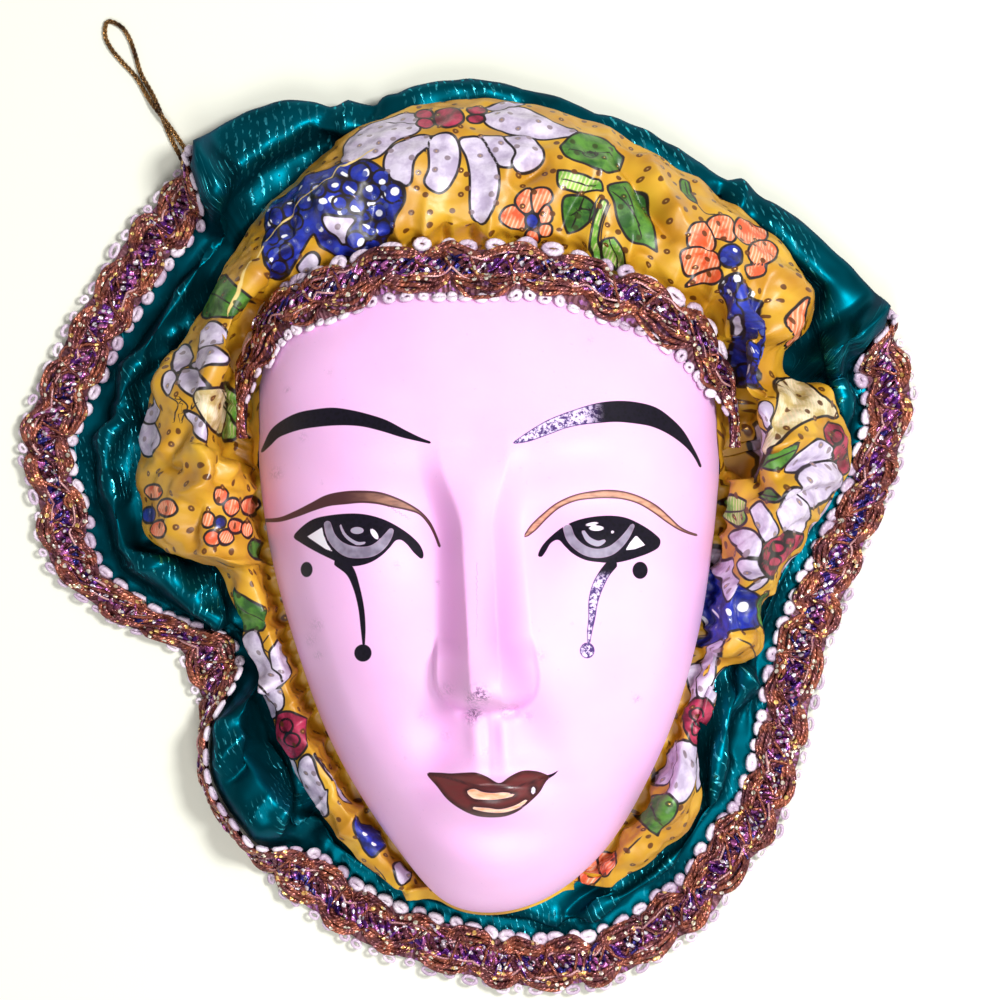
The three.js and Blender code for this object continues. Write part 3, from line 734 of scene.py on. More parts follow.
def face_paint(points, on_front):
    """Signed distances in pixels to each colour of paint, for the front's points."""
    places = to_pixels(points[on_front])
    x, y = places.T
    painted = {key: np.full(len(places), FAR) for key in
               ("black", "white", "iris", "grey", "lips", "gleam")}

    def paint(key, distance):
        for other in painted:
            painted[other] = np.maximum(painted[other], -distance)
        painted[key] = np.minimum(painted[key], distance)

    for eye in (LEFT_EYE, RIGHT_EYE):
        paint("black", shape_distance(places, eye))
    for white in (LEFT_WHITE, RIGHT_WHITE):
        paint("white", shape_distance(places, white, 1))
    for key, stroke in (("iris", LEFT_IRIS), ("iris", RIGHT_IRIS), ("grey", LEFT_HIGHLIGHT_ARC),
                        ("grey", RIGHT_HIGHLIGHT_ARC)):
        paint(key, stroke_distance(places, stroke))
    paint("grey", ellipse_distance(places, *PUPIL_HIGHLIGHT))
    for spot in SPOTS:
        paint("black", ellipse_distance(places, *spot))
    paint("lips", shape_distance(places, LIPS))
    paint("gleam", shape_distance(places, LIP_GLEAM))
    paint("gleam", stroke_distance(places, LIP_SHINE))
    for glint in GLINTS:
        paint("white", ellipse_distance(places, *glint))
    painted["parting"] = stroke_distance(places, MOUTH_LINE)

    brush = (LEFT_BROW, RIGHT_BROW, LEFT_TEAR, RIGHT_TEAR, LIP_CORNER)
    right = x > FRAME_MIDDLE
    # The right brow's inner half and the right tear: worn paint with a painted glint
    brow_wear_and_glint = smooth((WEAR_GLINT_BROW_EDGE - x) / WEAR_GLINT_BROW_FADE) * right * (y < 470)
    tear_wear_and_glint = smooth((y - WEAR_GLINT_TEAR_TOP) / WEAR_GLINT_TEAR_FADE) * (x > 570) * (x < 622)
    right_of_nose = x - 503 - 0.45 * np.maximum(y - 640, 0)
    left_flank = x - 454 + 0.00075 * (y - 620) ** 2
    shades = {
        "worn": np.maximum(brow_wear_and_glint, tear_wear_and_glint),
        "smudge": sum(strength * bell(np.hypot(x - at_x, y - at_y), radius)
                      for at_x, at_y, radius, strength in SMUDGES),
        # Painted shade down both flanks of the nose, weaker on the left
        "blush": (bell(right_of_nose, 15) * bell(y - 640, 75)
                  + 0.7 * bell(left_flank, 12) * bell(y - 625, 105)),
        "coppery": smooth((x - 340) / 60) * 0.5 + 0.5 * right,
    }
    layers = {key: (values, FAR) for key, values in painted.items()}
    layers.update((key, (values, 0)) for key, values in shades.items())
    for key, strokes in (("crease", (LEFT_CREASE, RIGHT_CREASE)), ("brush", brush)):
        side, half = stroke_sides(places, strokes)
        layers[key + "_side"] = side, FAR
        layers[key + "_half"] = half, -FAR
    full = {}
    for key, (values, elsewhere) in layers.items():
        full[key] = np.full(len(points), float(elsewhere))
        full[key][on_front] = np.clip(values, -FAR, FAR)
    return full


def bisque_material():
    material, tree = new_material("bisque")
    place = tree.place()
    worn = tree.point_value("worn")
    skin = tree.clouds(place, 55.0, 3.0, 0.35, 0.7, (242, 186, 235), (248, 194, 241))
    # Painted shade on the nose's flanks: a deeper pink-lilac in the skin
    skin = tree.mix(tree.point_value("blush"), skin, (234, 154, 222))
    speck = tree.noise(place, 700.0, 2.0, 0.6).ramp(0.7, 0.76, 0, 0.16)
    skin = tree.mix(speck, skin, (170, 120, 170))
    broken = tree.noise(place, 1500.0, 3.0, 0.7).ramp(0.44, 0.56)
    skin = tree.mix(tree.point_value("smudge") * broken, skin, (105, 70, 115))

    def depth_of(name):
        return abs(tree.point_value(name + "_side")) - tree.point_value(name + "_half")

    def mask(distance):
        return distance.ramp(-PAINT_EDGE, PAINT_EDGE, 1, 0)

    crease = depth_of("crease")
    streak = tree.noise(tree.scaled(place, 400, 1400, 400), 1.0, 3.0)
    copper = streak.ramp(0.3, 0.6, 0.45, 1) * (tree.point_value("coppery")
                                               - crease.ramp(-2.4, -0.9))
    lid = tree.mix(tree.highest(copper, 0.0), (72, 34, 38), (222, 160, 132))
    painted = tree.mix(mask(crease), skin, lid)

    black = tree.maths("MINIMUM", tree.point_value("black"), depth_of("brush"))
    flakes = tree.node("TexVoronoi", Vector=place, Scale=1250.0)
    # Painted glint with wear on the right brow and tear: the black turns purple-silver and breaks
    # into lilac-white specks inside its dark outline
    chips_and_glints = tree.noise(place, 1100.0, 4.0, 0.75).ramp(0.46, 0.54)
    chips_and_glints = chips_and_glints * black.ramp(-1.6, -0.7, 1, 0.15) * worn
    ink = tree.mix(flakes.ramp(0.2, 0.6), (10, 6, 18), (18, 12, 28))
    ink = tree.mix(worn * 0.75, ink, (88, 62, 130))
    ink = tree.mix(chips_and_glints, ink, (236, 214, 250))
    painted = tree.mix(mask(black), painted, ink)

    lips = tree.point_value("lips")
    parting = tree.point_value("parting").ramp(-0.4, 1.2, 0.8, 0)
    red = tree.mix(lips.ramp(-5.5, -0.5), (106, 38, 40), (34, 12, 18))
    red = tree.mix(streak.ramp(0.35, 0.7, 0, 0.55), red, (96, 48, 44))
    coats = {
        "white": (244, 238, 248),
        "iris": tree.clouds(place, 400.0, 2.0, 0.35, 0.65, (118, 106, 128), (158, 148, 170)),
        # Grey paint of the painted highlights in the eyes
        "grey": (165, 158, 178),
        "lips": tree.mix(parting, red, (48, 16, 22)),
        "gleam": tree.mix(streak.ramp(0.35, 0.65), (232, 160, 118), (250, 214, 186)),
    }
    for key, tint in coats.items():
        painted = tree.mix(mask(tree.point_value(key)), painted, tint)
    grain = tree.noise(place, 900.0, 3.0) + tree.noise(place, 160.0, 2.0)
    marks = tree.highest(mask(black), mask(lips))
    dress(tree, Base_Color=painted, Roughness=mask(lips).ramp(0, 1, 0.5, 0.3),
          Specular_IOR_Level=mask(black).ramp(0, 1, 0.4, 0.12), Subsurface_Weight=0.06,
          Subsurface_Scale=0.003, Sheen_Weight=0.1,
          Normal=tree.bump(grain + marks * 1.2, 0.25, 0.00006))
    return material


def add_face():
    points, faces = face_mesh()
    on_front = np.arange(len(points)) < (2 * FACE_RINGS + 1) ** 2
    face = make_object("face", points, faces, [bisque_material()], face_paint(points, on_front))
    finish_piece(face, "face_shell")


# Sections of the cloths: lines of (radius, height) points in a direction about the pole


LOOP_CROSSING = (-56.4, 76.0)
LOOP_DIRECTION = direction_of(*LOOP_CROSSING)


def turn_of(direction):
    return max(within(direction, **HANGING_EDGE), within(direction, **ROLLED_EDGE))


def share_in(direction, zone):
    return within(direction, **{**zone, "turn": 1})


def thicken(line, thickness):
    ahead = unit(np.vstack([line[1:], line[-1]]) - np.vstack([line[0], line[:-1]]))
    normal = np.stack([-ahead[:, 1], ahead[:, 0]], axis=1) * thickness / 2
    return np.vstack([line + normal, (line - normal)[::-1]])


def heading(slope):
    angle = math.radians(slope)
    return np.array([math.cos(angle), math.sin(angle)])


def collar_end(turn):
    """The collar's bend and straight end, from where it starts to bend."""
    start_slope = lerp(-24, 0, smooth(turn / 60))
    bend_length = lerp(2.7, math.pi * ROLL_RADIUS, turn / 180)
    points = [np.zeros(2)]
    slopes = [lerp(start_slope, -turn, part) for part in (1 / 6, 3 / 6, 5 / 6)] + [-turn]
    for length, slope in zip([bend_length / 3] * 3 + [BRAID_WIDTH - 2], slopes):
        points.append(points[-1] + length * heading(slope))
    return np.array(points)


def collar_section(direction):
    """The collar's end and the braid's inner and outer edge, set on the outline."""
    turn = turn_of(direction)
    end = collar_end(turn)
    along = heading(-turn)
    outward = np.array([-along[1], along[0]])
    parts = [share_in(direction, zone) for zone in (HANGING_EDGE, ROLLED_EDGE)]
    twist = max(4 * part * (1 - part) for part in parts)
    away = CLOTH / 2 + GAP + BRAID_THICKNESS / 2 + 1.2 * math.sqrt(twist)
    braid = end[3] + outward * away + np.outer([0, BRAID_WIDTH], along)
    cloth = thicken(end, CLOTH)
    both = np.vstack([cloth[cloth[:, 0] > 0.5], thicken(braid, BRAID_THICKNESS)])
    lift = CORD_LIFT * bell(turn_between(direction, LOOP_DIRECTION), 3.5)
    shift = np.array([collar_radius(direction) - both[:, 0].max(), lift - both[:, 1].min()])
    return end + shift, braid + shift, turn


def hem_radius(direction):
    return np.maximum(ruffle_radius(direction), ceramic_radius(direction) + LEAST_RUFFLE)


def collar_line(direction):
    start = ceramic_radius(direction) + 1
    end, _, turn = collar_section(direction)
    bend_r, bend_z = end[0]
    room = bend_r - start
    roomy = smooth((room - 2) / 12)
    under_hem = np.clip((hem_radius(direction) + 2.4 - start) / room, 0.35, 0.84)
    low = RIM_HEIGHT - 2.5
    beyond_hem = smooth((bend_r - hem_radius(direction)) / 12)
    swell = lerp(lerp(7, COLLAR_SWELL, beyond_hem), bend_z, smooth(turn / 60))
    line = [
        (start - 1 - TUCK, low), (start, low),
        (start + under_hem * room, lerp(lerp(low, bend_z, 0.5), 5.4, roomy)),
        (start + lerp(under_hem, 1, 0.55) * room, lerp(lerp(low, bend_z, 0.8), swell, roomy)),
    ]
    return np.vstack([line, end])


def collar_top(direction, radius):
    line = resample(collar_line(direction)[:6], 50)
    near = np.abs(line[:, 0] - radius) < 2.5
    return line[near, 1].max() if near.any() else 0


def off_ceramic(direction, arc, clearance):
    before, after, at = ceramic_point(direction, np.array([arc - 0.01, min(1, arc + 0.01), arc]))
    run = distance_of(*after[:2]) - distance_of(*before[:2])
    rise = after[2] - before[2]
    outward = clearance / math.hypot(run, rise)
    return np.array([distance_of(*at[:2]) - rise * outward, at[2] + run * outward])


def arc_beyond(direction, arc, length):
    arcs = np.arange(arc, 1, 0.005)
    if len(arcs) < 2:
        return 1.0
    return float(np.interp(length, lengths_along(ceramic_point(direction, arcs)), arcs))


def headband_places():
    """The forehead braid's middle line as directions and places on the dome."""
    x, y = np.array(HEADBAND_LINE, float).T
    directions = direction_of(x, y)
    arcs = arc_of(distance_of(x, y) / ceramic_radius(directions))
    return catmull_rom(np.stack([directions, 100 * np.minimum(arcs, HEADBAND_LOWEST)], 1), 20)


HEADBAND_PLACES = headband_places()


def headband_arc(direction):
    order = np.argsort(HEADBAND_PLACES[:, 0])
    return np.interp(direction, HEADBAND_PLACES[order, 0], HEADBAND_PLACES[order, 1]) / 100


def ruffle_line(direction):
    edge = ceramic_radius(direction)
    crown = within(direction, **CROWN)
    hem_r = hem_radius(direction)
    width = hem_r - edge
    puff = lerp(RIM_HEIGHT + 1.5, RUFFLE_CREST, smooth(width / 21))
    hem_height = max(LOWEST_HEM, collar_top(direction, hem_r) + CLOTH + GAP + 0.65)
    clear = CLOTH / 2 + GAP + 0.25
    middle = lerp(1, headband_arc(direction), crown)
    leave = arc_beyond(direction, middle, RUFFLE_HOLD)
    held = np.array([off_ceramic(direction, arc, away) for arc, away in (
        (middle, 0.25), ((middle + leave) / 2, clear + 0.2), (leave, clear + 0.3),
        (leave, clear + 4.6))])
    half_way = (edge + 2.2, lerp(RIM_HEIGHT + 1.2, puff, 0.5))
    low = RIM_HEIGHT - clear
    outside = np.array([(edge + 0.1, low), (edge + 0.6, low + 0.4), (edge + 1.4, RIM_HEIGHT + 1),
                        half_way])
    tucked = np.array([(edge - TUCK, low), (edge + 1.1, low), (edge + 1.7, RIM_HEIGHT + 1.2),
                       half_way])
    start = lerp(tucked, outside, smooth((crown - 0.01) / 0.1))
    start = lerp(start, held, smooth((crown - 0.16) / 0.2))
    start[:, 1] = np.maximum(start[:, 1], low)
    rest = [(max(edge + 0.4 * width, start[3, 0] + 1), puff),
            (max(edge + 0.75 * width, start[3, 0] + 2.5), lerp(hem_height, puff, 0.66)),
            (hem_r, hem_height)]
    line = np.vstack([start, rest])
    shy = within(direction, **BELOW_CHIN)
    return lerp(line, line[0] + (line - line[0]) * SHY_SHARE, shy)


# Cloths as grids: one column for each direction, rows along the section


def section_grid(line_at, columns, rows, smoothness=8):
    """Sections all round the pole as an array of columns, rows and (radius, height)."""
    directions = np.arange(columns) * 360 / columns
    lines = [catmull_rom(line_at(direction), smoothness) for direction in directions]
    return directions, np.array([resample(line, rows) for line in lines])


def grid_normals(points):
    """Unit normals of a ring of sections, pointing away from the ceramic."""
    around = np.roll(points, -1, axis=0) - np.roll(points, 1, axis=0)
    return unit(np.cross(np.gradient(points, axis=1), around))


def cloth_grid(line_at, columns, rows):
    """A cloth's directions, points, places on the flat cloth in millimetres, with the section
    laid out inwards from its end, and lengths along the section."""
    directions, grid = section_grid(line_at, columns, rows)
    points = polar(grid[..., 0], directions[:, None], grid[..., 1])
    along = lengths_along(grid)
    radius = grid[:, -1:, 0] - (along[:, -1:] - along)
    return directions, points, polar(radius, directions[:, None]), along


def fold_heights(points, folds):
    """Ridges and creases along strokes in pixels: height, half width and corners."""
    places = to_pixels(points.reshape(-1, 3))
    total = np.zeros(len(places))
    for height, width, *corners in folds:
        line = catmull_rom(corners, 4) if len(corners) > 2 else np.array(corners, float)
        gap, _, position, _ = nearest_on(places, line)
        starts = lengths_along(line)
        taper = np.sin(math.pi * corner_values(position, starts / starts[-1])) ** 0.6
        reach = gap / (1.1 * width * PIXELS_PER_MM)
        total += height * taper * np.exp(-0.75 * reach**1.4)
    return total.reshape(points.shape[:-1])


def gathers(directions, along, wavelength, radius, seed):
    """Puckers that run outwards from a gathered edge, from 0 in the creases to 1."""
    angle = np.radians(directions)[:, None]
    rng = np.random.default_rng(seed)
    drift = np.zeros_like(along)
    for cycles in range(3, 30):
        strength = 1.1 / cycles**0.7
        phase = rng.uniform(0, 2 * math.pi)
        drift += strength * np.sin(cycles * angle + phase + along * rng.uniform(-0.1, 0.1))
    count = round(2 * math.pi * radius / wavelength)
    return 1 - np.abs(np.sin(count * angle / 2 + drift)) ** 0.8 - MEAN_PUCKER


RUFFLE_COLUMNS = 900
RUFFLE_ROWS = 88
HEM_ROWS = 14
RUFFLE_FOLDS = [
    (-2.6, 1.2, (612, 150), (631, 168), (651, 204), (673, 243)),
    (1.6, 1.6, (640, 150), (662, 190), (690, 232)), (-1.6, 1, (512, 186), (551, 159)),
    (1.2, 1.6, (500, 172), (540, 146)), (-1.2, 0.9, (440, 250), (448, 215)),
    (-1.2, 0.9, (468, 248), (480, 216)), (-2.6, 1.3, (752, 274), (756, 310), (750, 345)),
    (-2.2, 1.2, (771, 268), (768, 330), (773, 396)), (2, 1.7, (786, 262), (800, 310), (790, 352)),
    (1.4, 1.6, (736, 262), (738, 300), (728, 340)),
    (-2.2, 1.2, (774, 336), (766, 372), (744, 412), (754, 478)),
    (2.2, 1.3, (791, 368), (812, 386), (837, 416)),
    (-1.8, 1.2, (775, 440), (786, 410), (806, 392)), (-3, 1.3, (718, 452), (738, 470), (757, 496)),
    (1.6, 1.6, (760, 452), (800, 440), (838, 452)), (-1.8, 1, (776, 480), (810, 462), (838, 462)),
    (-1.8, 1, (772, 520), (800, 498), (842, 490)), (1.4, 1.4, (770, 505), (805, 482), (842, 474)),
    (-1.6, 1, (762, 556), (790, 540), (815, 520)), (1.6, 1.8, (740, 545), (764, 572), (768, 610)),
    (-1.8, 1, (722, 575), (744, 600), (748, 640)),
    (-2, 1.1, (186, 420), (170, 446), (160, 464), (180, 469)),
    (2, 1.1, (195, 438), (207, 464), (203, 483), (189, 493), (170, 487)),
    (1.4, 1.1, (237, 462), (227, 483)), (-1.4, 1, (222, 450), (215, 486)),
    (-2.6, 1.4, (252, 340), (240, 365), (252, 392)),
    (1.6, 1.6, (222, 346), (212, 374), (200, 400)), (-1.8, 1, (196, 330), (186, 362), (200, 392)),
    (1.4, 1.4, (176, 350), (166, 384), (160, 410)), (-1.6, 1, (205, 500), (190, 528), (196, 552)),
    (1.2, 1.6, (182, 500), (170, 525), (172, 545)),
    (-1.6, 1.1, (258, 300), (236, 330), (215, 340)),
    (1.6, 1.8, (262, 262), (242, 290), (226, 314)), (-1.5, 1, (300, 250), (285, 222), (292, 196)),
    (1.2, 2, (330, 240), (322, 200), (332, 178)), (-1.2, 1, (368, 238), (372, 200), (362, 172)),
    (1, 2, (402, 230), (410, 180), (420, 140)), (-1.4, 1, (560, 236), (575, 200), (600, 170)),
    (-1.5, 1, (690, 280), (712, 240), (728, 222)),
]


def add_gathers(points, directions, along):
    crown = within(directions[:, None], **CROWN)
    puckers = gathers(directions, along, wavelength=6.5, radius=50, seed=5)
    fine = gathers(directions, along, wavelength=3.6, radius=50, seed=9)
    total = along[:, -1:]
    near = smooth((along - 3) / 5) * (1 - 0.75 * smooth((along - 8) / 16))
    tucked = smooth(along / 5) * (1 - 0.5 * smooth((along - 6) / 10))
    size = lerp(1.2 * tucked, 1.9 * near, crown)
    lift = size * puckers + 0.55 * size * fine * (1 - smooth((along - 8) / 9))
    lift += 0.5 * ripples(points, wavelength=9, seed=3) * smooth(along / 10)
    lift += 0.12 * ripples(points, wavelength=3.2, seed=4)
    lift += 1.5 * fold_heights(points, RUFFLE_FOLDS) * smooth((along - 2) / 4)
    lift *= lerp(1, 0.55, smooth((along - total + 3) / 3))
    lift *= 1 - within(directions[:, None], **BELOW_CHIN)
    return points + grid_normals(points) * lift[..., None]


def rest_on_collar(points, directions):
    """Lifts the ruffle where its creases would reach through the collar under it."""
    radius = distance_of(points[..., 0], points[..., 1])
    for column, direction in enumerate(directions):
        line = resample(catmull_rom(collar_line(direction)[:5], 8), 60)
        under = np.interp(radius[column], line[:, 0], line[:, 1])
        points[column, :, 2] = np.maximum(points[column, :, 2], under + CLOTH / 2 + 0.5)
    return points


def roll_hem(points, rows, radius=0.5, width=2.2):
    """Continues a cloth's last row as a hem turned under."""
    ahead = unit(points[:, -1] - points[:, -2])
    normal = grid_normals(points)[:, -1]
    bend = rows // 2
    turned = [points[:, -1] + radius * (ahead * math.sin(angle) - normal * (1 - math.cos(angle)))
              for angle in np.linspace(0, math.pi, bend + 1)[1:]]
    turned += [turned[-1] - ahead * width * part + normal * 0.2 * part
               for part in np.linspace(0, 1, rows - bend + 1)[1:]]
    return np.concatenate([points, np.stack(turned, axis=1)], axis=1)


# Print on the floral cloth, in pixels of the photograph: outlined shapes, discs by colour as
# (x, y, half width, half height), unlined dots as (x, y, radius), and lines
PRINT_SHAPES = [
    ("petal", (340, 161), (347, 141), (371, 123), (413, 113), (418, 130), (396, 140), (380, 155),
     (360, 163)),
    ("petal", (423, 136), (431, 140), (413, 160), (408, 184), (396, 183), (385, 166), (396, 145)),
    ("petal", (479, 138), (506, 138), (517, 153), (512, 165), (502, 166), (489, 151)),
    ("petal", (506, 136), (532, 138), (542, 158), (534, 168), (519, 171), (513, 163), (517, 151)),
    ("petal", (433, 138), (454, 138), (458, 163), (449, 184), (439, 192), (426, 183), (430, 168)),
    ("petal", (461, 141), (478, 138), (489, 153), (497, 168), (496, 196), (481, 223), (473, 216),
     (471, 173), (467, 155)),
    ("petal", (484, 118), (496, 110), (524, 108), (554, 121), (579, 135), (537, 138), (504, 131)),
    ("petal", (486, 107), (505, 101), (524, 102), (505, 107)),
    ("blue", (263, 216), (275, 199), (299, 181), (317, 171), (340, 163), (361, 160), (374, 163),
     (383, 170), (392, 180), (403, 184), (405, 199), (396, 216), (392, 232), (384, 250),
     (366, 258), (351, 259), (320, 246), (314, 234), (299, 256), (286, 276), (276, 280),
     (266, 266), (262, 245)),
    ("petal", (324, 217), (340, 218), (354, 220), (347, 230), (344, 244), (336, 235), (329, 230)),
    ("petal", (298, 268), (310, 254), (318, 262), (306, 274)),
    ("orange", (501, 219), (506, 209), (517, 206), (526, 219), (524, 228), (509, 226)),
    ("orange", (517, 198), (529, 189), (534, 204), (527, 213), (517, 204)),
    ("orange", (534, 191), (547, 189), (551, 198), (544, 206), (536, 213)),
    ("orange", (539, 216), (547, 206), (551, 219), (541, 225)),
    ("orange", (529, 231), (537, 233), (536, 243), (527, 241)),
    ("orange", (541, 226), (550, 226), (548, 236), (540, 232)),
    ("leaf", (560, 147), (571, 136), (594, 134), (614, 147), (624, 157), (621, 170), (605, 172),
     (583, 163), (567, 157)),
    ("light", (558, 170), (581, 174), (601, 181), (603, 191), (592, 191), (571, 191), (558, 186)),
    ("leaf", (564, 197), (581, 195), (594, 204), (594, 215), (581, 229), (567, 234), (563, 220)),
    ("leaf", (608, 186), (628, 182), (646, 195), (649, 213), (657, 252), (646, 245), (631, 241),
     (619, 224), (614, 202)),
    ("light", (603, 240), (614, 238), (624, 252), (628, 277), (614, 268), (603, 259)),
    ("leaf", (681, 179), (689, 181), (698, 203), (688, 197)),
    ("orange", (689, 245), (692, 227), (708, 223), (714, 234), (712, 249), (696, 252)),
    ("orange", (708, 224), (717, 216), (731, 218), (735, 231), (731, 241), (715, 236)),
    ("orange", (737, 234), (740, 218), (749, 220), (765, 229), (763, 240), (747, 243)),
    ("orange", (749, 252), (760, 241), (772, 243), (777, 251), (765, 263), (753, 261)),
    ("orange", (683, 252), (713, 252), (719, 266), (703, 274), (689, 275), (683, 263)),
    ("orange", (687, 286), (696, 277), (719, 270), (721, 277), (703, 282)),
    ("orange", (746, 268), (763, 266), (765, 272), (748, 275)),
    ("blue", (721, 281), (737, 273), (749, 290), (755, 300), (763, 302), (762, 334), (763, 356),
     (761, 372), (749, 384), (735, 384), (729, 352), (731, 322), (724, 300)),
    ("petal", (735, 318), (740, 316), (739, 334), (735, 336)),
    ("orange", (787, 347), (787, 325), (796, 309), (809, 299), (805, 320), (798, 341)),
    ("beige", (778, 378), (804, 378), (821, 395), (840, 415), (812, 419), (788, 433), (761, 464),
     (758, 458), (771, 427), (778, 401)),
    ("petal", (760, 418), (763, 401), (773, 406), (767, 428)),
    ("petal", (751, 448), (753, 430), (765, 435), (761, 454)),
    ("leaf", (759, 464), (771, 450), (800, 441), (796, 453), (780, 470)),
    ("crimson", (829, 424), (842, 426), (850, 440), (850, 470), (838, 474), (826, 452)),
    ("petal", (786, 470), (804, 450), (820, 440), (833, 450), (831, 462), (812, 470)),
    ("petal", (798, 480), (833, 462), (844, 474), (842, 487), (812, 507), (803, 501)),
    ("petal", (810, 535), (831, 503), (843, 505), (840, 517), (821, 531)),
    ("petal", (784, 503), (792, 490), (802, 492), (804, 535), (792, 533), (783, 527)),
    ("petal", (751, 511), (761, 503), (771, 517), (778, 533), (769, 544), (759, 529)),
    ("petal", (729, 535), (751, 531), (761, 542), (759, 560), (741, 550)),
    ("petal", (737, 564), (757, 562), (767, 574), (751, 580)),
    ("petal", (747, 591), (769, 578), (759, 589)), ("petal", (784, 572), (798, 556), (791, 572)),
    ("crimson", (761, 564), (767, 544), (788, 533), (804, 537), (792, 556), (776, 576)),
    ("light", (718, 503), (731, 495), (745, 501), (747, 519), (737, 527), (722, 519)),
    ("leaf", (759, 493), (771, 488), (782, 499), (775, 503)),
    ("blue", (704, 558), (718, 566), (731, 584), (759, 597), (762, 623), (731, 631), (702, 646),
     (692, 640), (694, 610), (698, 584)),
    ("petal", (706, 552), (714, 549), (719, 562), (731, 562), (730, 572), (737, 584), (729, 600),
     (722, 590), (722, 578), (712, 574)),
    ("leaf", (763, 595), (770, 592), (772, 626), (764, 628)),
    ("petal", (700, 660), (719, 640), (716, 660), (705, 698), (694, 690)),
    ("petal", (707, 692), (726, 670), (718, 692), (709, 708)),
    ("petal", (688, 668), (698, 664), (697, 700), (688, 704)),
    ("petal", (666, 792), (672, 756), (686, 742), (697, 748), (696, 784), (678, 802)),
    ("petal", (701, 747), (712, 742), (707, 778), (699, 790)),
    ("petal", (655, 775), (674, 742), (672, 764), (664, 784)),
    ("crimson", (688, 702), (703, 698), (716, 714), (712, 736), (694, 744), (684, 726)),
    ("leaf", (635, 815), (654, 794), (677, 802), (672, 820), (658, 836), (646, 827)),
    ("orange", (580, 872), (592, 858), (602, 862), (598, 880), (584, 888)),
    ("orange", (600, 854), (612, 850), (614, 866), (604, 876)),
    ("leaf", (219, 274), (239, 288), (253, 303), (240, 314), (222, 317), (200, 313), (209, 287)),
    ("petal", (198, 335), (207, 323), (219, 325), (222, 337), (200, 350)),
    ("petal", (192, 364), (212, 344), (220, 349), (220, 357), (203, 366)),
    ("petal", (179, 378), (190, 369), (205, 386), (194, 396)),
    ("petal", (174, 360), (182, 344), (191, 352), (177, 373)),
    ("petal", (163, 386), (170, 371), (175, 379), (168, 394)),
    ("beige", (193, 398), (206, 389), (220, 388), (228, 405), (227, 430), (212, 428), (198, 410)),
    ("light", (224, 383), (237, 393), (245, 415), (235, 440), (224, 438), (229, 408)),
    ("petal", (185, 412), (205, 425), (208, 440), (195, 432)),
    ("petal", (138, 428), (150, 420), (158, 444), (145, 455), (137, 441)),
    ("petal", (142, 413), (152, 399), (157, 414), (146, 422)),
    ("leaf", (233, 588), (250, 600), (268, 616), (263, 630), (238, 628)),
    ("petal", (242, 638), (256, 632), (267, 659), (283, 705), (274, 710), (251, 677)),
    ("petal", (234, 670), (249, 679), (274, 712), (263, 720), (243, 700)),
    ("petal", (271, 652), (281, 640), (287, 659), (280, 686)),
    ("petal", (299, 762), (309, 756), (318, 778), (327, 810), (320, 816), (302, 786)),
    ("petal", (315, 755), (329, 771), (350, 801), (341, 795)),
    ("petal", (284, 760), (294, 764), (300, 792), (292, 790)),
    ("crimson", (276, 718), (290, 712), (308, 724), (306, 746), (290, 758), (276, 744)),
    ("blue", (356, 818), (372, 824), (386, 846), (372, 856), (358, 838)),
    ("petal", (395, 866), (404, 862), (410, 878), (402, 884)),
]
PRINT_DISCS = [
    ("crimson", (424, 114, 9, 5.5), (425, 123, 9, 5), (477, 110, 10, 5), (476, 119, 9, 4.5),
     (449, 117, 15, 10.5)),
    ("blue", (532, 221, 7, 8), (731, 256, 12, 12), (344, 170, 9, 8), (360, 173, 11, 10),
     (381, 178, 9, 8), (334, 184, 8, 8), (350, 188, 9, 8), (371, 192, 10, 9), (393, 193, 10, 10),
     (340, 203, 8, 7), (357, 206, 9, 8), (378, 212, 9, 9), (369, 228, 9, 8), (383, 229, 8, 9),
     (356, 240, 10, 9), (373, 246, 9, 8), (318, 190, 8, 8), (304, 202, 8, 8), (290, 210, 8, 9),
     (276, 216, 8, 9), (272, 236, 8, 9), (286, 232, 8, 9), (296, 222, 7, 8), (274, 256, 7, 8),
     (286, 252, 7, 9), (280, 268, 7, 7), (742, 292, 9, 9), (730, 288, 8, 7), (752, 350, 8, 9),
     (742, 372, 9, 8)),
    ("orange", (153, 492, 9, 8), (167, 508, 10, 9), (157, 529, 9, 9)), ("blue", (148, 515, 7, 8)),
    ("orange", (221, 496, 7, 9), (232, 507, 9, 9), (251, 506, 9, 9), (208, 520, 7, 8),
     (213, 538, 9, 8), (226, 537, 8, 8), (236, 526, 8, 7), (248, 529, 7, 8)),
    ("blue", (220, 522, 6, 6)), ("leaf", (256, 548, 7, 9)),
    ("crimson", (767, 556, 6, 6), (778, 548, 7, 6), (790, 541, 6, 5), (776, 562, 6, 6),
     (697, 714, 7, 6), (696, 728, 7, 7), (286, 726, 7, 7), (292, 740, 8, 7), (838, 436, 6, 7),
     (840, 452, 7, 8)),
]
PRINT_DOTS = [
    (367, 172, 3.6), (346, 175, 3.4), (351, 190, 3.6), (370, 189, 3.2), (395, 191, 4),
    (383, 195, 3), (372, 204, 3.6), (355, 209, 3.4), (379, 213, 3.6), (341, 211, 3),
    (333, 199, 3.4), (335, 185, 3), (382, 182, 3), (361, 242, 3.4), (268, 209, 2.8), (270, 223, 3),
    (290, 202, 3), (299, 187, 2.8), (309, 198, 3), (315, 186, 3), (323, 201, 3), (271, 260, 2.6),
    (284, 236, 2.6), (375, 232, 3), (366, 226, 2.6), (320, 230, 2.6), (722, 283, 3.2),
    (738, 277, 3.8), (729, 293, 3.6), (751, 295, 3.4), (753, 350, 3), (746, 370, 3.6),
    (705, 621, 3), (715, 615, 3.2), (729, 612, 3), (743, 607, 3.6), (365, 834, 2.6),
    (374, 844, 2.6), (735, 250, 2.4),
]
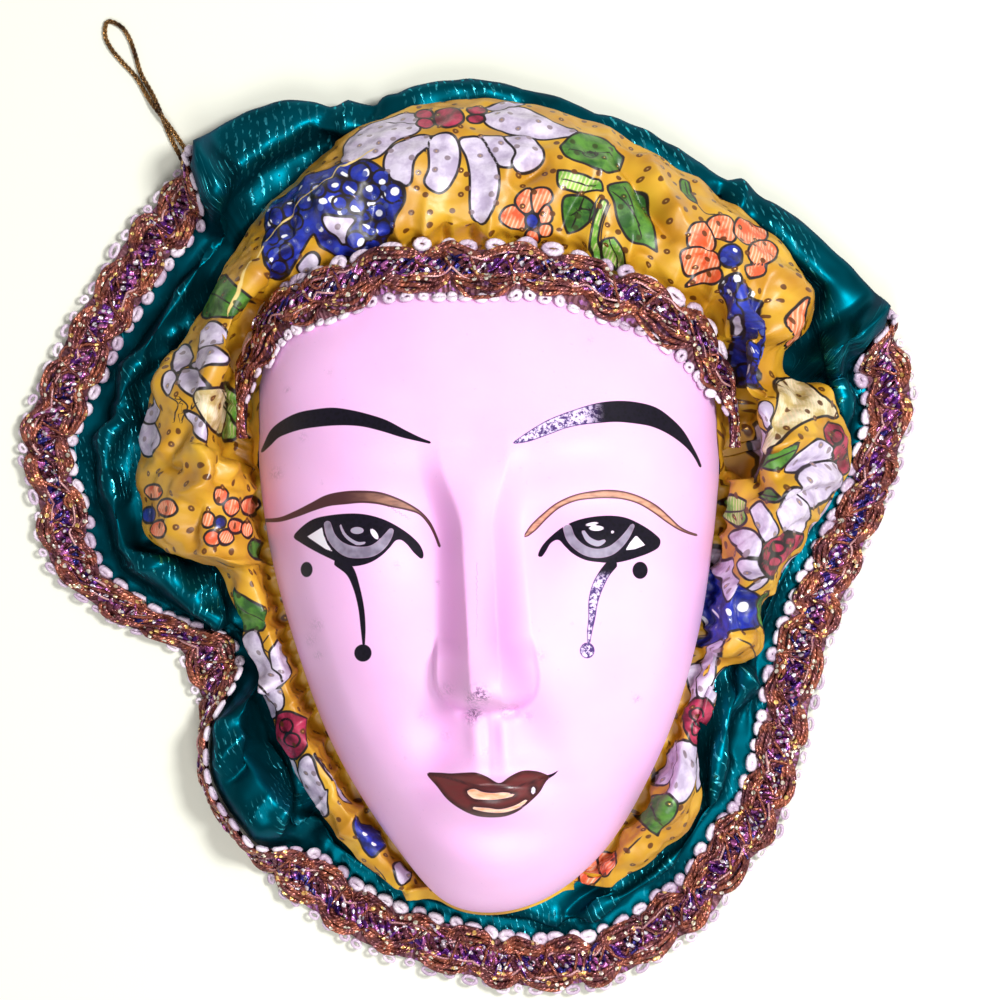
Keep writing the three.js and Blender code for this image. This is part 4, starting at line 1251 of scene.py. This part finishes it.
PRINT_LINES = [
    ("vein", (388, 122), (416, 122)),
    ("vein", (590, 151), (583, 154), (590, 157), (598, 154), (590, 151)),
    ("vein", (572, 214), (582, 209), (590, 210)),
    ("stalk", (604, 203), (597, 224), (595, 246), (598, 262)),
    ("vein", (600, 206), (592, 226), (590, 250)), ("vein", (609, 206), (602, 228), (601, 240)),
    ("vein", (613, 192), (630, 208), (640, 226)), ("vein", (698, 205), (706, 213), (714, 214)),
    ("vein", (786, 378), (777, 383), (777, 398)),
    ("seam", (228, 312), (241, 282), (262, 249), (286, 220), (300, 199), (322, 180), (345, 165),
     (372, 150)),
    ("vein", (168, 396), (178, 404), (174, 420)), ("vein", (180, 398), (188, 406), (182, 420)),
    ("vein", (196, 404), (188, 412)), ("vein", (268, 636), (262, 646), (268, 652)),
    ("vein", (376, 866), (386, 880)), ("vein", (740, 640), (752, 646), (760, 660)),
    ("vein", (640, 838), (626, 852)), ("vein", (600, 196), (592, 208), (588, 222)),
    ("vein", (736, 300), (744, 314), (742, 340)), ("vein", (740, 352), (752, 360)),
]
STALK_HALF = 3.6

# Each colour of the print: how many layers take turns in it, so that the ink round shapes that
# touch is kept, how far its shapes are swollen in millimetres, and its two tones
PRINT_COLOURS = {
    "light": (1, 0, (84, 146, 44), (158, 200, 88)),
    "leaf": (2, 0, (40, 88, 30), (86, 140, 46)),
    "blue": (3, 0, (14, 20, 92), (30, 50, 174)),
    "orange": (3, 0.25, (222, 84, 40), (246, 140, 92)),
    "petal": (3, 0.28, (182, 166, 194), (222, 210, 230)),
    "beige": (1, 0, (186, 160, 96), (232, 220, 184)),
    "crimson": (2, 0.15, (104, 14, 38), (186, 46, 84)),
}
LAYERS = {kind: [kind, kind + "_2", kind + "_3"][:row[0]] for kind, row in PRINT_COLOURS.items()}
VEINED = ("leaf", "light")
INK_HALF = 0.24
INK_EDGE = 0.07


def floral_material():
    material, tree = new_material("floral_satin")
    cloth = tree.point_vector("cloth")
    base = tree.clouds(cloth, 0.12, 2.0, 0.35, 0.65, (186, 128, 16), (216, 166, 40))
    patchy = tree.noise(cloth, 0.3, 3.0)
    soft_grain = patchy * 0.8 + tree.noise(cloth, 1.6, 3.0) * 0.2

    def lining(name, half):
        away = abs(tree.point_value(name))
        return away.ramp(half - INK_EDGE, half + INK_EDGE, 1, 0)

    def drawn(name, half):
        return lining(name + "_side", half) * tree.point_value(name).ramp(0.55, 0.8, 1, 0)

    inked = drawn("vein", 0.15)
    masks = {}
    for kind, (_, _, first, last) in PRINT_COLOURS.items():
        for layer in LAYERS[kind]:
            covered = tree.point_value(layer).ramp(-INK_EDGE, INK_EDGE, 1, 0)
            masks[kind] = tree.highest(masks.get(kind, 0.0), covered)
            inked = tree.highest(inked, lining(layer, INK_HALF))
        base = tree.mix(masks[kind], base, tree.mix(soft_grain.ramp(0.4, 0.6), first, last))
    weft = tree.node("SeparateXYZ", tree.turned(cloth, 0.35))
    lines = tree.maths("SINE", weft * 9.0).ramp(0.0, 0.7, 0, 0.55) * patchy.ramp(0.42, 0.55)
    lined = tree.highest(masks["orange"], tree.highest(masks["beige"], masks["light"]))
    base = tree.mix(lines * lined, base, (255, 224, 192))
    spots = tree.point_value("spot").ramp(-0.08, 0.08, 1, 0)
    base = tree.mix(spots, base, (250, 248, 252))
    base = tree.mix(inked, base, (26, 12, 16))
    base = tree.mix(drawn("seam", 0.2), base, (238, 206, 130))

    cells = tree.node("TexVoronoi", Vector=cloth, Scale=0.27, Randomness=0.75,
                      voronoi_dimensions="2D")
    ring = cells.ramp(0.13, 0.165, 1, 0)
    chance = tree.node("SeparateXYZ", cells.output("Color"))
    core = cells.ramp(0.02, 0.05, 1, 0) * chance.ramp(0.58, 0.62)
    tone = tree.mix(masks["blue"], (92, 48, 12), (70, 84, 160))
    tone = tree.mix(masks["leaf"], tone, (52, 66, 24))
    tone = tree.mix(masks["petal"], tone, (140, 122, 132))
    base = tree.mix(ring * 0.94, base, tone)
    spark = tree.mix(masks["blue"], (236, 184, 96), (246, 246, 252))
    base = tree.mix(core * 0.85, base, spark)
    raised = tree.noise(cloth, 0.8, 5.0, 0.65) + core * 1.5
    dress(tree, Base_Color=base, Metallic=core.ramp(0, 1, 0, 0.7),
          Roughness=ring.ramp(0, 1, 0.42, 0.28), Specular_IOR_Level=0.65,
          Normal=tree.bump(raised, 0.35, 0.00012))
    return material


def to_cloth(corners, places, heights, flat):
    """Places in the photograph's frame as places on the flat cloth, where it is seen."""
    found = []
    for corner in np.array(corners, float):
        gap = np.hypot(*(places - corner).T)
        near = gap < max(3.0, gap.min() + 0.5)
        near &= heights > heights[near].max() - 1
        weight = 1 / (gap[near] + 0.3)
        weight /= weight.sum()
        place = weight @ flat[near]
        if gap.min() > 3:
            place = place + (corner - weight @ places[near]) * [1, -1] / PIXELS_PER_MM
        found.append(place)
    return np.array(found)


def print_layers(points, flat):
    """Distances in cloth millimetres to each colour of the print."""
    seen = to_pixels(points), points[:, 2], flat
    colours = [layer for layers in LAYERS.values() for layer in layers] + ["spot"]
    layers = {name: np.full(len(points), FAR) for name in
              (*colours, "vein", "vein_side", "seam", "seam_side")}
    turn = dict.fromkeys(LAYERS, 0)

    def close_to(corners, margin=1.5):
        low, high = corners.min(0) - margin, corners.max(0) + margin
        return np.where(np.all((flat > low) & (flat < high), axis=1))[0]

    def paint(kind, near, distance):
        choice = LAYERS[kind][turn[kind] % len(LAYERS[kind])]
        turn[kind] += 1
        for other in colours:
            layers[other][near] = np.maximum(layers[other][near], -distance)
        layers["vein"][near] = np.maximum(layers["vein"][near], np.where(distance < 0, 3, -3))
        layers[choice][near] = np.minimum(layers[choice][near], distance)

    def draw_line(near, line, name="vein"):
        """A line as its distance and its signed distance, which stays sharp between points."""
        away, cross, _, _ = nearest_on(flat[near], line)
        closer = away < layers[name][near]
        layers[name][near[closer]] = away[closer]
        layers[name + "_side"][near[closer]] = (np.where(cross < 0, -1, 1) * away)[closer]

    for kind, *corners in PRINT_SHAPES:
        corners = to_cloth(corners, *seen)
        near = close_to(corners)
        centre = corners.mean(0)
        spread = np.linalg.svd(corners - centre)[2][0]
        lengthwise = (corners - centre) @ spread
        if kind in VEINED:
            tips = [lengthwise.argmin(), lengthwise.argmax()]
            corners = np.insert(corners, tips, corners[tips], axis=0)
        paint(kind, near, shape_distance(flat[near], corners) - PRINT_COLOURS[kind][1])
        if kind in VEINED:
            reach = np.abs(lengthwise).max() * 0.7
            draw_line(near, centre + np.outer([-reach, 0.8 * reach], spread))
    angle = np.arange(8) * math.pi / 4
    for kind, *discs in PRINT_DISCS:
        for x, y, width, height in discs:
            around = np.stack([x + width * np.cos(angle), y + height * np.sin(angle)], axis=1)
            corners = to_cloth(around, *seen)
            near = close_to(corners)
            paint(kind, near, shape_distance(flat[near], corners))
    for x, y, radius in PRINT_DOTS:
        corners = to_cloth([(x, y)], *seen)
        near = close_to(corners, 2)
        reach = np.hypot(*(flat[near] - corners[0]).T) - radius / PIXELS_PER_MM
        layers["spot"][near] = np.minimum(layers["spot"][near], reach)
    for name, *corners in PRINT_LINES:
        corners = to_cloth(corners, *seen)
        near = close_to(corners)
        if name == "stalk":
            line = [(*corner, STALK_HALF / PIXELS_PER_MM) for corner in corners]
            paint("light", near, stroke_distance(flat[near], line))
        else:
            draw_line(near, catmull_rom(corners, 4) if len(corners) > 2 else corners, name)
    return layers


def add_ruffle():
    directions, points, flat, along = cloth_grid(ruffle_line, RUFFLE_COLUMNS, RUFFLE_ROWS)
    points = add_gathers(points, directions, along)
    points = rest_on_collar(points, directions)
    points = roll_hem(points, HEM_ROWS).reshape(-1, 3)
    outward = unit(flat[:, -1:] - [*POLE, 0])
    hem = flat[:, -1:] + outward * np.linspace(0.3, 3.5, HEM_ROWS)[:, None]
    flat = np.concatenate([flat, hem], axis=1).reshape(-1, 3)
    attributes = {"cloth": flat, **print_layers(points, flat[:, :2])}
    faces = grid_faces(RUFFLE_COLUMNS, RUFFLE_ROWS + HEM_ROWS, wrap_rows=True)
    ruffle = make_object("ruffle", points, faces, [floral_material()], attributes)
    finish_piece(ruffle, "floral_ruffle")


COLLAR_COLUMNS = 800
COLLAR_ROWS = 78
COLLAR_FOLDS = [
    (1.8, 1.6, (102, 387), (126, 370), (150, 355)),
    (-1.6, 1.2, (112, 402), (140, 385), (160, 366)), (1.4, 1.2, (167, 343), (180, 326)),
    (2, 1.6, (90, 448), (117, 423), (140, 412)), (-1.8, 1.2, (80, 436), (104, 420), (128, 400)),
    (-1.6, 1.2, (81, 465), (92, 490), (88, 512)), (1.6, 1.4, (108, 470), (112, 492), (125, 505)),
    (1.8, 1.6, (120, 560), (148, 566), (184, 560)),
    (-1.6, 1.2, (125, 540), (150, 548), (176, 545)),
    (1.8, 1.5, (190, 600), (214, 574), (222, 560)), (2, 1.5, (216, 583), (220, 620), (214, 658)),
    (-2, 1.2, (226, 610), (232, 660), (230, 702)), (1.6, 1.8, (212, 690), (214, 720), (226, 752)),
    (2, 1.6, (247, 731), (228, 752), (212, 771)), (-2, 1.2, (256, 742), (240, 772), (218, 790)),
    (2.2, 1.3, (266, 744), (286, 790), (272, 863)), (-2, 1.2, (280, 760), (302, 806), (292, 860)),
    (1.6, 1.6, (300, 859), (312, 872), (320, 888)),
    (-1.6, 1.2, (316, 830), (322, 850), (318, 876)),
    (1.5, 1.2, (327, 842), (332, 862), (327, 884)), (1.6, 1.4, (341, 856), (358, 880), (371, 904)),
    (-1.4, 1.2, (365, 876), (384, 900), (392, 920)), (2.6, 1, (738, 646), (750, 700), (755, 760)),
    (-2, 1.2, (728, 668), (736, 712), (734, 760)), (-1.8, 1.3, (768, 640), (772, 690), (764, 738)),
    (1.6, 1.6, (717, 731), (717, 775), (706, 806)), (1.5, 1.5, (786, 600), (800, 640), (790, 680)),
    (2.2, 1.2, (580, 920), (598, 906), (617, 892)),
    (-1.8, 1.2, (560, 918), (580, 900), (606, 884)),
    (1.4, 1.4, (536, 930), (550, 922), (566, 914)),
    (-2.4, 1.2, (722, 182), (718, 200), (704, 214)), (2, 1.4, (735, 178), (742, 200), (736, 218)),
    (1.8, 1.8, (820, 330), (838, 380), (846, 424)),
    (-1.8, 1.3, (800, 318), (820, 360), (830, 400)),
    (1.8, 1.6, (862, 330), (866, 372), (858, 420)),
    (-1.6, 1.2, (846, 318), (850, 360), (846, 396)),
    (1.3, 2.6, (158, 300), (182, 240), (214, 192), (250, 156), (296, 130), (334, 118)),
    (-1.8, 1.7, (200, 270), (226, 220), (262, 178), (304, 152), (342, 136)),
    (-1.2, 0.9, (296, 148), (314, 128), (334, 110)),
    (0.9, 1.2, (172, 262), (190, 250), (208, 232)), (1.6, 1.8, (352, 96), (346, 118), (342, 136)),
    (-1.8, 1.2, (376, 92), (372, 108), (362, 124)), (1.4, 2, (400, 96), (460, 90), (520, 96)),
    (-1.2, 1.4, (420, 108), (480, 101), (540, 106)),
    (1.4, 2.2, (600, 110), (650, 142), (700, 178)), (1.4, 2, (760, 205), (790, 244), (812, 290)),
]


def satin_material():
    material, tree = new_material("teal_satin")
    cloth = tree.point_vector("cloth")
    base = tree.clouds(cloth, 0.12, 2.0, 0.35, 0.65, (0, 66, 78), (0, 88, 104))
    turned = tree.turned(cloth, math.radians(-14))
    phase = tree.node("SeparateXYZ", turned) * 5.5 + tree.noise(cloth, 0.4) * 6.0
    line = tree.maths("SINE", phase).ramp(0.3, 0.9)
    broken = tree.noise(tree.scaled(turned, 2.1, 0.8, 1), 1.0, 1.0).ramp(0.5, 0.6)
    patches = tree.noise(cloth, 0.055, 1.0).ramp(0.48, 0.62, 0, 0.7)
    # Weave dashes with a painted highlight: on ridges and in random patches the colour is mixed
    # towards bright cyan, and the dashes are also made shinier and tilted
    weave_and_painted_highlight = line * broken * tree.highest(patches, tree.point_value("painted_highlight_ridge"))
    base = tree.mix(weave_and_painted_highlight * 0.85, base, (84, 216, 238))
    fine = tree.noise(tree.scaled(turned, 5.0, 1.2, 1), 1.0, 2.0)
    raised = tree.bump(weave_and_painted_highlight + fine * 0.16, 0.7, 0.0001)
    dress(tree, Base_Color=base, Metallic=weave_and_painted_highlight.ramp(0, 1, 0.8, 1),
          Roughness=weave_and_painted_highlight.ramp(0, 1, 0.38, 0.24), Specular_IOR_Level=0.3,
          Specular_Tint=colour(0, 130, 150),
          Normal=tree.facets(raised, tree.scaled(turned, 1, 0.5, 1), 1.3, weave_and_painted_highlight * 0.9))
    return material


def add_collar():
    directions, points, flat, along = cloth_grid(collar_line, COLLAR_COLUMNS, COLLAR_ROWS)
    total = along[:, -1:]
    ring = directions[:, None]
    free = smooth(along / 6) * smooth((total - along - BRAID_WIDTH + 3) / 5)
    past_hem = distance_of(points[..., 0], points[..., 1]) - hem_radius(ring)
    lying = 1 - 0.85 * share_in(ring, ROLLED_EDGE)
    lift = 0.55 * lying * gathers(directions, along, wavelength=15, radius=62, seed=21)
    lift += 0.6 * lying * ripples(points, wavelength=22, seed=6)
    lift += 0.14 * ripples(points, wavelength=6.5, seed=8)
    lift += 1.05 * fold_heights(points, COLLAR_FOLDS)
    lift *= free * smooth((past_hem + 5) / 5)
    points = points + grid_normals(points) * lift[..., None]
    points[..., 2] = np.maximum(points[..., 2], LEAST_HEIGHT)
    faces = grid_faces(COLLAR_COLUMNS, COLLAR_ROWS, wrap_rows=True)
    # How much each point is raised into a ridge, where the satin gets its painted highlight
    painted_highlight_ridge = smooth((lift - 0.15) / 0.7)
    collar = make_object("collar", points.reshape(-1, 3), faces, [satin_material()],
                         {"cloth": flat.reshape(-1, 3), "painted_highlight_ridge": painted_highlight_ridge.ravel()})
    finish_piece(collar, "teal_collar")


# Gimp braid: cords, ribbons and loops along a path


def directions_round(path, up, closed=False):
    """Unit directions from a path to its side and to its top."""
    if closed:
        ahead = unit(np.roll(path, -1, axis=0) - np.roll(path, 1, axis=0))
    else:
        ahead = unit(np.gradient(path, axis=0))
    side = unit(np.cross(up, ahead))
    return side, np.cross(ahead, side)


class Strands:
    """Collects the tubes and ribbons of one braid."""

    def __init__(self):
        self.points, self.faces, self.kinds, self.threads = [], [], [], []
        self.count = 0

    def add(self, points, faces, kind, thread):
        self.points.append(points.reshape(-1, 3))
        self.faces.append(faces + self.count)
        self.kinds.append(np.full(len(faces), kind))
        self.threads.append(np.stack(np.broadcast_arrays(*thread), axis=-1).reshape(-1, 3))
        self.count += len(self.points[-1])

    def tube(self, path, up, radius, kind, sides, closed=False, flat=1.0, start=0.0):
        """A tube round a path; flat squashes it along up."""
        side, top = directions_round(path, up, closed)
        angle = np.arange(sides) * 2 * math.pi / sides
        cosine, sine = np.cos(angle)[None], np.sin(angle)[None]
        ring = side[:, None] * cosine[..., None] + top[:, None] * sine[..., None] * flat
        faces = grid_faces(len(path), sides, wrap_rows=closed, wrap_columns=True)
        along = start + lengths_along(path)[:, None]
        self.add(path[:, None] + ring * radius, faces, kind, (along, cosine, sine))

    def object(self, name, materials):
        return make_object(name, np.vstack(self.points), np.vstack(self.faces), materials,
                           {"thread": np.vstack(self.threads)}, np.concatenate(self.kinds))


BASE, COPPER, LUREX, PINK, PICOT = range(5)
RIBBON_HALF = 4.4
# The copper cords of one side by distance from its middle, and the picots' inner end
BUNDLE = (-1.4, -0.5, 0.45, 1.25)
SIDES = ((-1, 0.0), (1, math.pi / 2))
PICOT_FOOT = 5.5
PICOT_CORNERS = 11
BARE_END = 5


class Course:
    """The middle line of a braid with its directions across and up, by distance along it."""

    def __init__(self, middle, across, up, closed):
        self.along = lengths_along(middle)
        self.length = self.along[-1]
        self.lines, self.closed = (middle, across, up), closed

    def frame(self, s):
        s = np.mod(s, self.length) if self.closed else np.clip(s, 0, self.length)
        return [np.stack([np.interp(s, self.along, column) for column in line.T], axis=-1)
                for line in self.lines]

    def at(self, s, across, up):
        middle, side, normal = self.frame(s)
        return middle + side * across[..., None] + normal * up[..., None]


def braid(course, seed, pitch, picots, sag=lambda across: 0 * across, narrow=lambda at: 1):
    """Gimp braid: two wavy bundles of copper cord, lurex zigzags between, and picot loops.
    sag lowers it by the place across, and narrow is its part of the full width."""
    strands = Strands()
    closed, length = course.closed, course.length
    rng = np.random.default_rng(seed)
    unevenness = [rng.uniform(0, 2 * math.pi, 8), rng.uniform(0.6, 1.4, 8)]

    def run(step):
        return np.linspace(0, length, round(length / step), endpoint=not closed)

    def repeats(wanted):
        return max(1, round(length / wanted))

    def uneven(at, size=1):
        total = np.zeros_like(at)
        for index, (phase, pace) in enumerate(zip(*unevenness)):
            cycles = round(length / (9 + 7 * index) * pace)
            total = total + np.sin(2 * math.pi * cycles * at / length + phase)
        return size * total / 3

    def place(at, across, up):
        across = (across + uneven(at, 0.45)) * narrow(at)
        at = at + uneven(length - at, 0.8)
        return course.at(at, across, up - sag(across))

    def lay(at, across, up, kind, radius, flat, sides=5, start=0.0, loop=closed):
        strands.tube(place(at, across, up), course.frame(at)[2], radius, kind, sides, loop, flat,
                     start)

    s = run(1.0)
    across = np.linspace(-RIBBON_HALF, RIBBON_HALF, 10)
    ribbon = np.stack([place(s, np.full_like(s, a), np.full_like(s, -0.45)) for a in across], 1)
    strands.add(ribbon, grid_faces(len(s), len(across), wrap_rows=closed), BASE,
                (s[:, None], across[None], 0.0))

    scallops = 2 * math.pi * repeats(pitch) / length
    zigzags = 2 * math.pi * repeats(pitch / 2) / length

    def scallop(s, phase):
        return np.abs(np.sin(scallops * s / 2 + phase)) ** 0.75

    s = run(0.8)
    for side, phase in SIDES:
        wave = scallop(s, phase)
        for cord, offset in enumerate(BUNDLE):
            out = 1.6 + 2.1 * wave + offset * (0.3 + 0.75 * wave) + 0.3 * uneven(s + 3 * cord)
            high = 1.05 * wave - 0.25 * abs(cord - 1.5) + 0.25 * uneven(s + 7 * cord)
            lay(s, side * out, high, COPPER, radius=0.5, flat=0.85, start=40 * cord)
    s = run(0.5)
    for index, phase in enumerate((0.0, 2.1, 4.2)):
        swing = np.arcsin(0.97 * np.sin(zigzags * s + phase)) * 2 / math.pi
        high = 0.35 + 0.4 * np.sin(zigzags * s + phase + 1.4)
        lay(s, 2.1 * swing, high, LUREX, radius=0.62, flat=0.5, start=13 * index)
    for side, phase in SIDES:
        dive = 0.55 + 0.3 * np.cos(2 * scallops * s + side) + 0.45 * uneven(s + 11 * side)
        out = 0.9 + 1.7 * scallop(s, phase) + 0.4 * uneven(s + 5 * side)
        lay(s, side * out, dive, PINK, radius=0.25, flat=0.8, sides=4, start=7 * side)
    s = run(0.75)
    for index, kind in enumerate((COPPER, LUREX, COPPER)):
        sway = np.sin(scallops * s * (1 + index) / 2 + 2 * index + 1.5 * uneven(s))
        high = 0.8 + 0.55 * np.sin(scallops * s * 1.5 + 4 * index + uneven(s))
        across = 2.9 * sway + uneven(s + 9 * index)
        lay(s, across, high, kind, radius=0.3, flat=0.8, sides=4, start=23 * index)

    turn = np.arange(PICOT_CORNERS) * 2 * math.pi / PICOT_CORNERS
    for side, (picot_pitch, thickness) in zip((-1, 1), picots):
        spacing = length / repeats(picot_pitch)
        for index in range(repeats(picot_pitch)):
            centre = (index + 0.5) * spacing + rng.uniform(-0.3, 0.3)
            size = spacing / 3.2 * rng.uniform(0.85, 1.08)
            foot = PICOT_FOOT - thickness + rng.uniform(-0.2, 0.2)
            if not closed and min(centre, length - centre) < BARE_END:
                continue
            out = foot + 0.6 * size * (0.2 + np.cos(turn))
            lie = -0.1 + 0.25 * np.cos(turn) + rng.uniform(-0.15, 0.2)
            along = centre + 0.9 * size * np.sin(turn)
            lay(along, side * out, lie, PICOT, radius=thickness * size, flat=0.75, loop=True)
    for points in strands.points:
        points[:, 2] = np.maximum(points[:, 2], LEAST_BRAID_HEIGHT)
    return strands


def thread_material(name, make_colour, metallic, roughness, twist, strength, glitter):
    material, tree = new_material(name)
    along = tree.node("SeparateXYZ", tree.point_vector("thread"))
    phase = along * twist
    strand = abs(tree.maths("SINE", phase) * along.output(1)
                 + tree.maths("COSINE", phase) * along.output(2))
    place = tree.place()
    normal = tree.bump(strand, strength, 0.0003)
    if glitter:
        normal = tree.facets(normal, place, 1000.0, glitter)
    dress(tree, Base_Color=make_colour(tree, place, strand), Metallic=metallic,
          Roughness=roughness, Normal=normal)
    return material


def flecks(tree, place, scale):
    """Three chance values for each small facet of metal thread, and a mask of its middle."""
    cells = tree.node("TexVoronoi", Vector=place, Scale=scale)
    chance = tree.node("SeparateXYZ", cells.output("Color"))
    return chance, chance.output(1), chance.output(2), cells.ramp(0.42, 0.5, 1, 0)


def shade_grooves(tree, strand, base, width, depth, groove_shade):
    """Paints shade into the grooves between a thread's plies."""
    return tree.mix(strand.ramp(0, width, depth, 0), base, groove_shade)


def copper_colour(tree, place, strand):
    warmth, glints, _, middle = flecks(tree, place, 1000.0)
    base = tree.clouds(place, 300.0, 3.0, 0.36, 0.62, (98, 44, 44), (194, 112, 86))
    mauve = tree.noise(place, 420.0).ramp(0.46, 0.62, 0, 0.7)
    # Painted shade in the grooves between the plies
    base = shade_grooves(tree, strand, tree.mix(mauve, base, (120, 70, 82)), 0.4, 0.6, (52, 20, 22))
    warm = tree.mix(warmth.ramp(0.5, 0.6), (255, 246, 226), (255, 214, 130))
    return tree.mix(glints.ramp(0.74, 0.76) * middle, base, warm)


def gold_colour(tree, place, strand):
    base = tree.clouds(place, 300.0, 3.0, 0.36, 0.62, (74, 48, 30), (164, 122, 72))
    # Painted shade in the grooves between the plies
    return shade_grooves(tree, strand, base, 0.4, 0.6, (40, 24, 16))


def lurex_colour(tree, place, strand):
    brown, pink, glints, middle = flecks(tree, place, 850.0)
    base = tree.clouds(place, 150.0, 1.0, 0.42, 0.58, (98, 40, 128), (44, 40, 116))
    base = tree.mix(brown.ramp(0.4, 0.5), base, (112, 58, 72))
    base = tree.mix(pink.ramp(0.78, 0.84), base, (196, 110, 176))
    return tree.mix(glints.ramp(0.62, 0.66) * middle, base, (252, 242, 254))


def pink_colour(tree, place, strand):
    return tree.clouds(place, 260.0, 2.0, 0.35, 0.6, (176, 112, 122), (232, 180, 178))


def pearl_colour(tree, place, strand):
    base = tree.clouds(place, 120.0, 2.0, 0.4, 0.6, (244, 228, 242), (196, 172, 196))
    # Painted shade in the grooves between the plies
    return shade_grooves(tree, strand, base, 0.3, 0.2, (150, 124, 150))


def ribbon_colour(tree, place, strand):
    shade, mauve, _, _ = flecks(tree, place, 1300.0)
    base = tree.mix(shade, (76, 36, 44), (122, 72, 84))
    return tree.mix(mauve.ramp(0.8, 0.9), base, (150, 90, 150))


# Metallic, roughness, twist, depth of the twist and glitter of each kind of thread
BRAID_THREADS = [
    ("braid_ribbon", ribbon_colour, 0.4, 0.5, 3.0, 0.3, 0.3),
    ("braid_copper", copper_colour, 0.5, 0.24, 3.4, 0.5, 1.1),
    ("braid_lurex", lurex_colour, 0.6, 0.22, 5.0, 0.3, 1.2),
    ("braid_pink", pink_colour, 0.45, 0.36, 6.0, 0.4, 0.3),
    ("braid_pearl", pearl_colour, 0.0, 0.28, 3.5, 0.35, 0.0),
]
GOLD_THREAD = ("gold_cord", gold_colour, 0.9, 0.3, 5.0, 0.6, 0.5)
# Seed, length of a scallop, and pitch and thickness of the inner and outer picots
EDGE_BRAID = (31, 10.5, ((3.7, 0.62), (3.4, 0.38)))
HEADBAND_BRAID = (32, 12.8, ((3.1, 0.6), (5.0, 0.54)))


def collar_course():
    directions = np.arange(0, 360, 0.5)
    lines = np.array([collar_section(direction)[1] for direction in directions])
    inner, outer = (polar(lines[:, end, 0], directions, lines[:, end, 1]) for end in (0, 1))
    middle = (inner + outer) / 2
    across = unit(outer - inner)
    up = unit(np.cross(across, np.roll(middle, -1, axis=0) - np.roll(middle, 1, axis=0)))
    wrapped = [np.vstack([values, values[:1]]) for values in (middle, across, up)]
    return Course(*wrapped, closed=True)


def forehead_course():
    away = 2 * GAP + CLOTH + BRAID_THICKNESS / 2 + 0.75
    directions, arcs = HEADBAND_PLACES[:, 0], HEADBAND_PLACES[:, 1] / 100
    centre = ceramic_point(directions, arcs)
    beyond = ceramic_point(directions, arcs + 0.01) - centre
    ahead = unit(np.gradient(centre, axis=0))
    normal = np.cross(ahead, beyond)
    normal = unit(normal * np.sign(normal[:, 2:]))
    across = np.cross(normal, ahead)
    across *= np.sign(np.sum(across * beyond, axis=1))[:, None]
    return Course(centre + normal * away, across, normal, closed=False)


def add_braids():
    materials = [thread_material(*row) for row in BRAID_THREADS]
    forehead = forehead_course()

    def meets_ceramic(across):
        return 1.3 * smooth((-across - 1) / 3) + 1.7 * smooth((-across - 3.6) / 1.6)

    def folded_ends(at):
        return lerp(0.16, 1, smooth(np.minimum(at, forehead.length - at) / 20))

    edge = braid(collar_course(), *EDGE_BRAID)
    finish_piece(edge.object("edge_gimp", materials), "edge_braid")
    band = braid(forehead, *HEADBAND_BRAID, meets_ceramic, folded_ends)
    finish_piece(band.object("forehead_gimp", materials), "headband_braid")


# The hanging loop


def cord_route():
    """The loop from one glued end to the other, in metres."""
    span = LOOP_TIP - LOOP_START
    length = float(np.hypot(*span))
    along = span / length

    def point(distance, side, height):
        x, y = LOOP_START + along * distance + np.array([-along[1], along[0]]) * side
        return x, y, height

    out = [point(distance, side, low) for distance, side, low, _ in LOOP_STRANDS]
    back = [point(distance, -side, high) for distance, side, _, high in LOOP_STRANDS]
    return catmull_rom([*out, point(length, 0, CORD_DIAMETER / 2), *back[::-1]], 8)


def add_cord():
    route = cord_route()
    length = float(lengths_along(route)[-1])
    path = resample(route / MM, round(length / MM / CORD_STEP))
    up = np.tile([0.0, 0.0, 1.0], (len(path), 1))
    side, top = directions_round(path, up)
    turn = np.arange(len(path)) * CORD_STEP / CORD_TWIST * 2 * math.pi
    strands = Strands()
    for ply in range(CORD_PLIES):
        angle = (turn + ply * 2 * math.pi / CORD_PLIES)[:, None]
        offset = side * np.cos(angle) + top * np.sin(angle)
        strands.tube(path + PLY_RADIUS * offset, up, PLY_RADIUS, kind=0, sides=6, start=9.0 * ply)
    cord = strands.object("hanging_loop", [thread_material(*GOLD_THREAD)])
    finish_piece(cord, "hanging_cord")


# Floor and light


LIT_POINT = np.array([0, 0, 0.02])
FLOOR_HALF = 900
FLOOR_DEPTH = 0.05


def add_light(name, place, size, power):
    data = bpy.data.lights.new(name, "AREA")
    data.shape = "DISK"
    data.size = size
    data.energy = power
    lamp = new_object(name, data)
    lamp.location = place
    x, y, z = LIT_POINT - np.array(place)
    lamp.rotation_euler = (math.atan2(math.hypot(x, y), -z), 0, math.atan2(-x, y))


def add_studio():
    world = bpy.data.worlds.new("world")
    bpy.context.scene.world = world
    tree = Tree(world)
    to_right = tree.node("SeparateXYZ", tree.node("TexCoord").output("Generated"))
    tree.fill(tree.nodes["Background"], {"Color": (1, 1, 1, 1),
                                         "Strength": to_right.ramp(-0.8, 0.8, 0.28, 0.44)})
    add_light("key", (0.25, 0.1, 0.52), 0.14, 2.9)
    add_light("overhead", (0.0, -0.27, 0.56), 0.34, 1.7)
    corners = [(-1, -1, 0), (1, -1, 0), (1, 1, 0), (-1, 1, 0)]
    material, tree = new_material("floor")
    dress(tree, Base_Color=colour(236, 236, 222), Roughness=0.9)
    floor = make_object("floor", np.array(corners) * FLOOR_HALF - [0, 0, FLOOR_DEPTH],
                        [[0, 1, 2, 3]], [material])


add_camera()
add_cord()
add_face()
add_ruffle()
add_collar()
add_braids()
add_studio()
bpy.context.scene.view_settings.view_transform = "Standard"
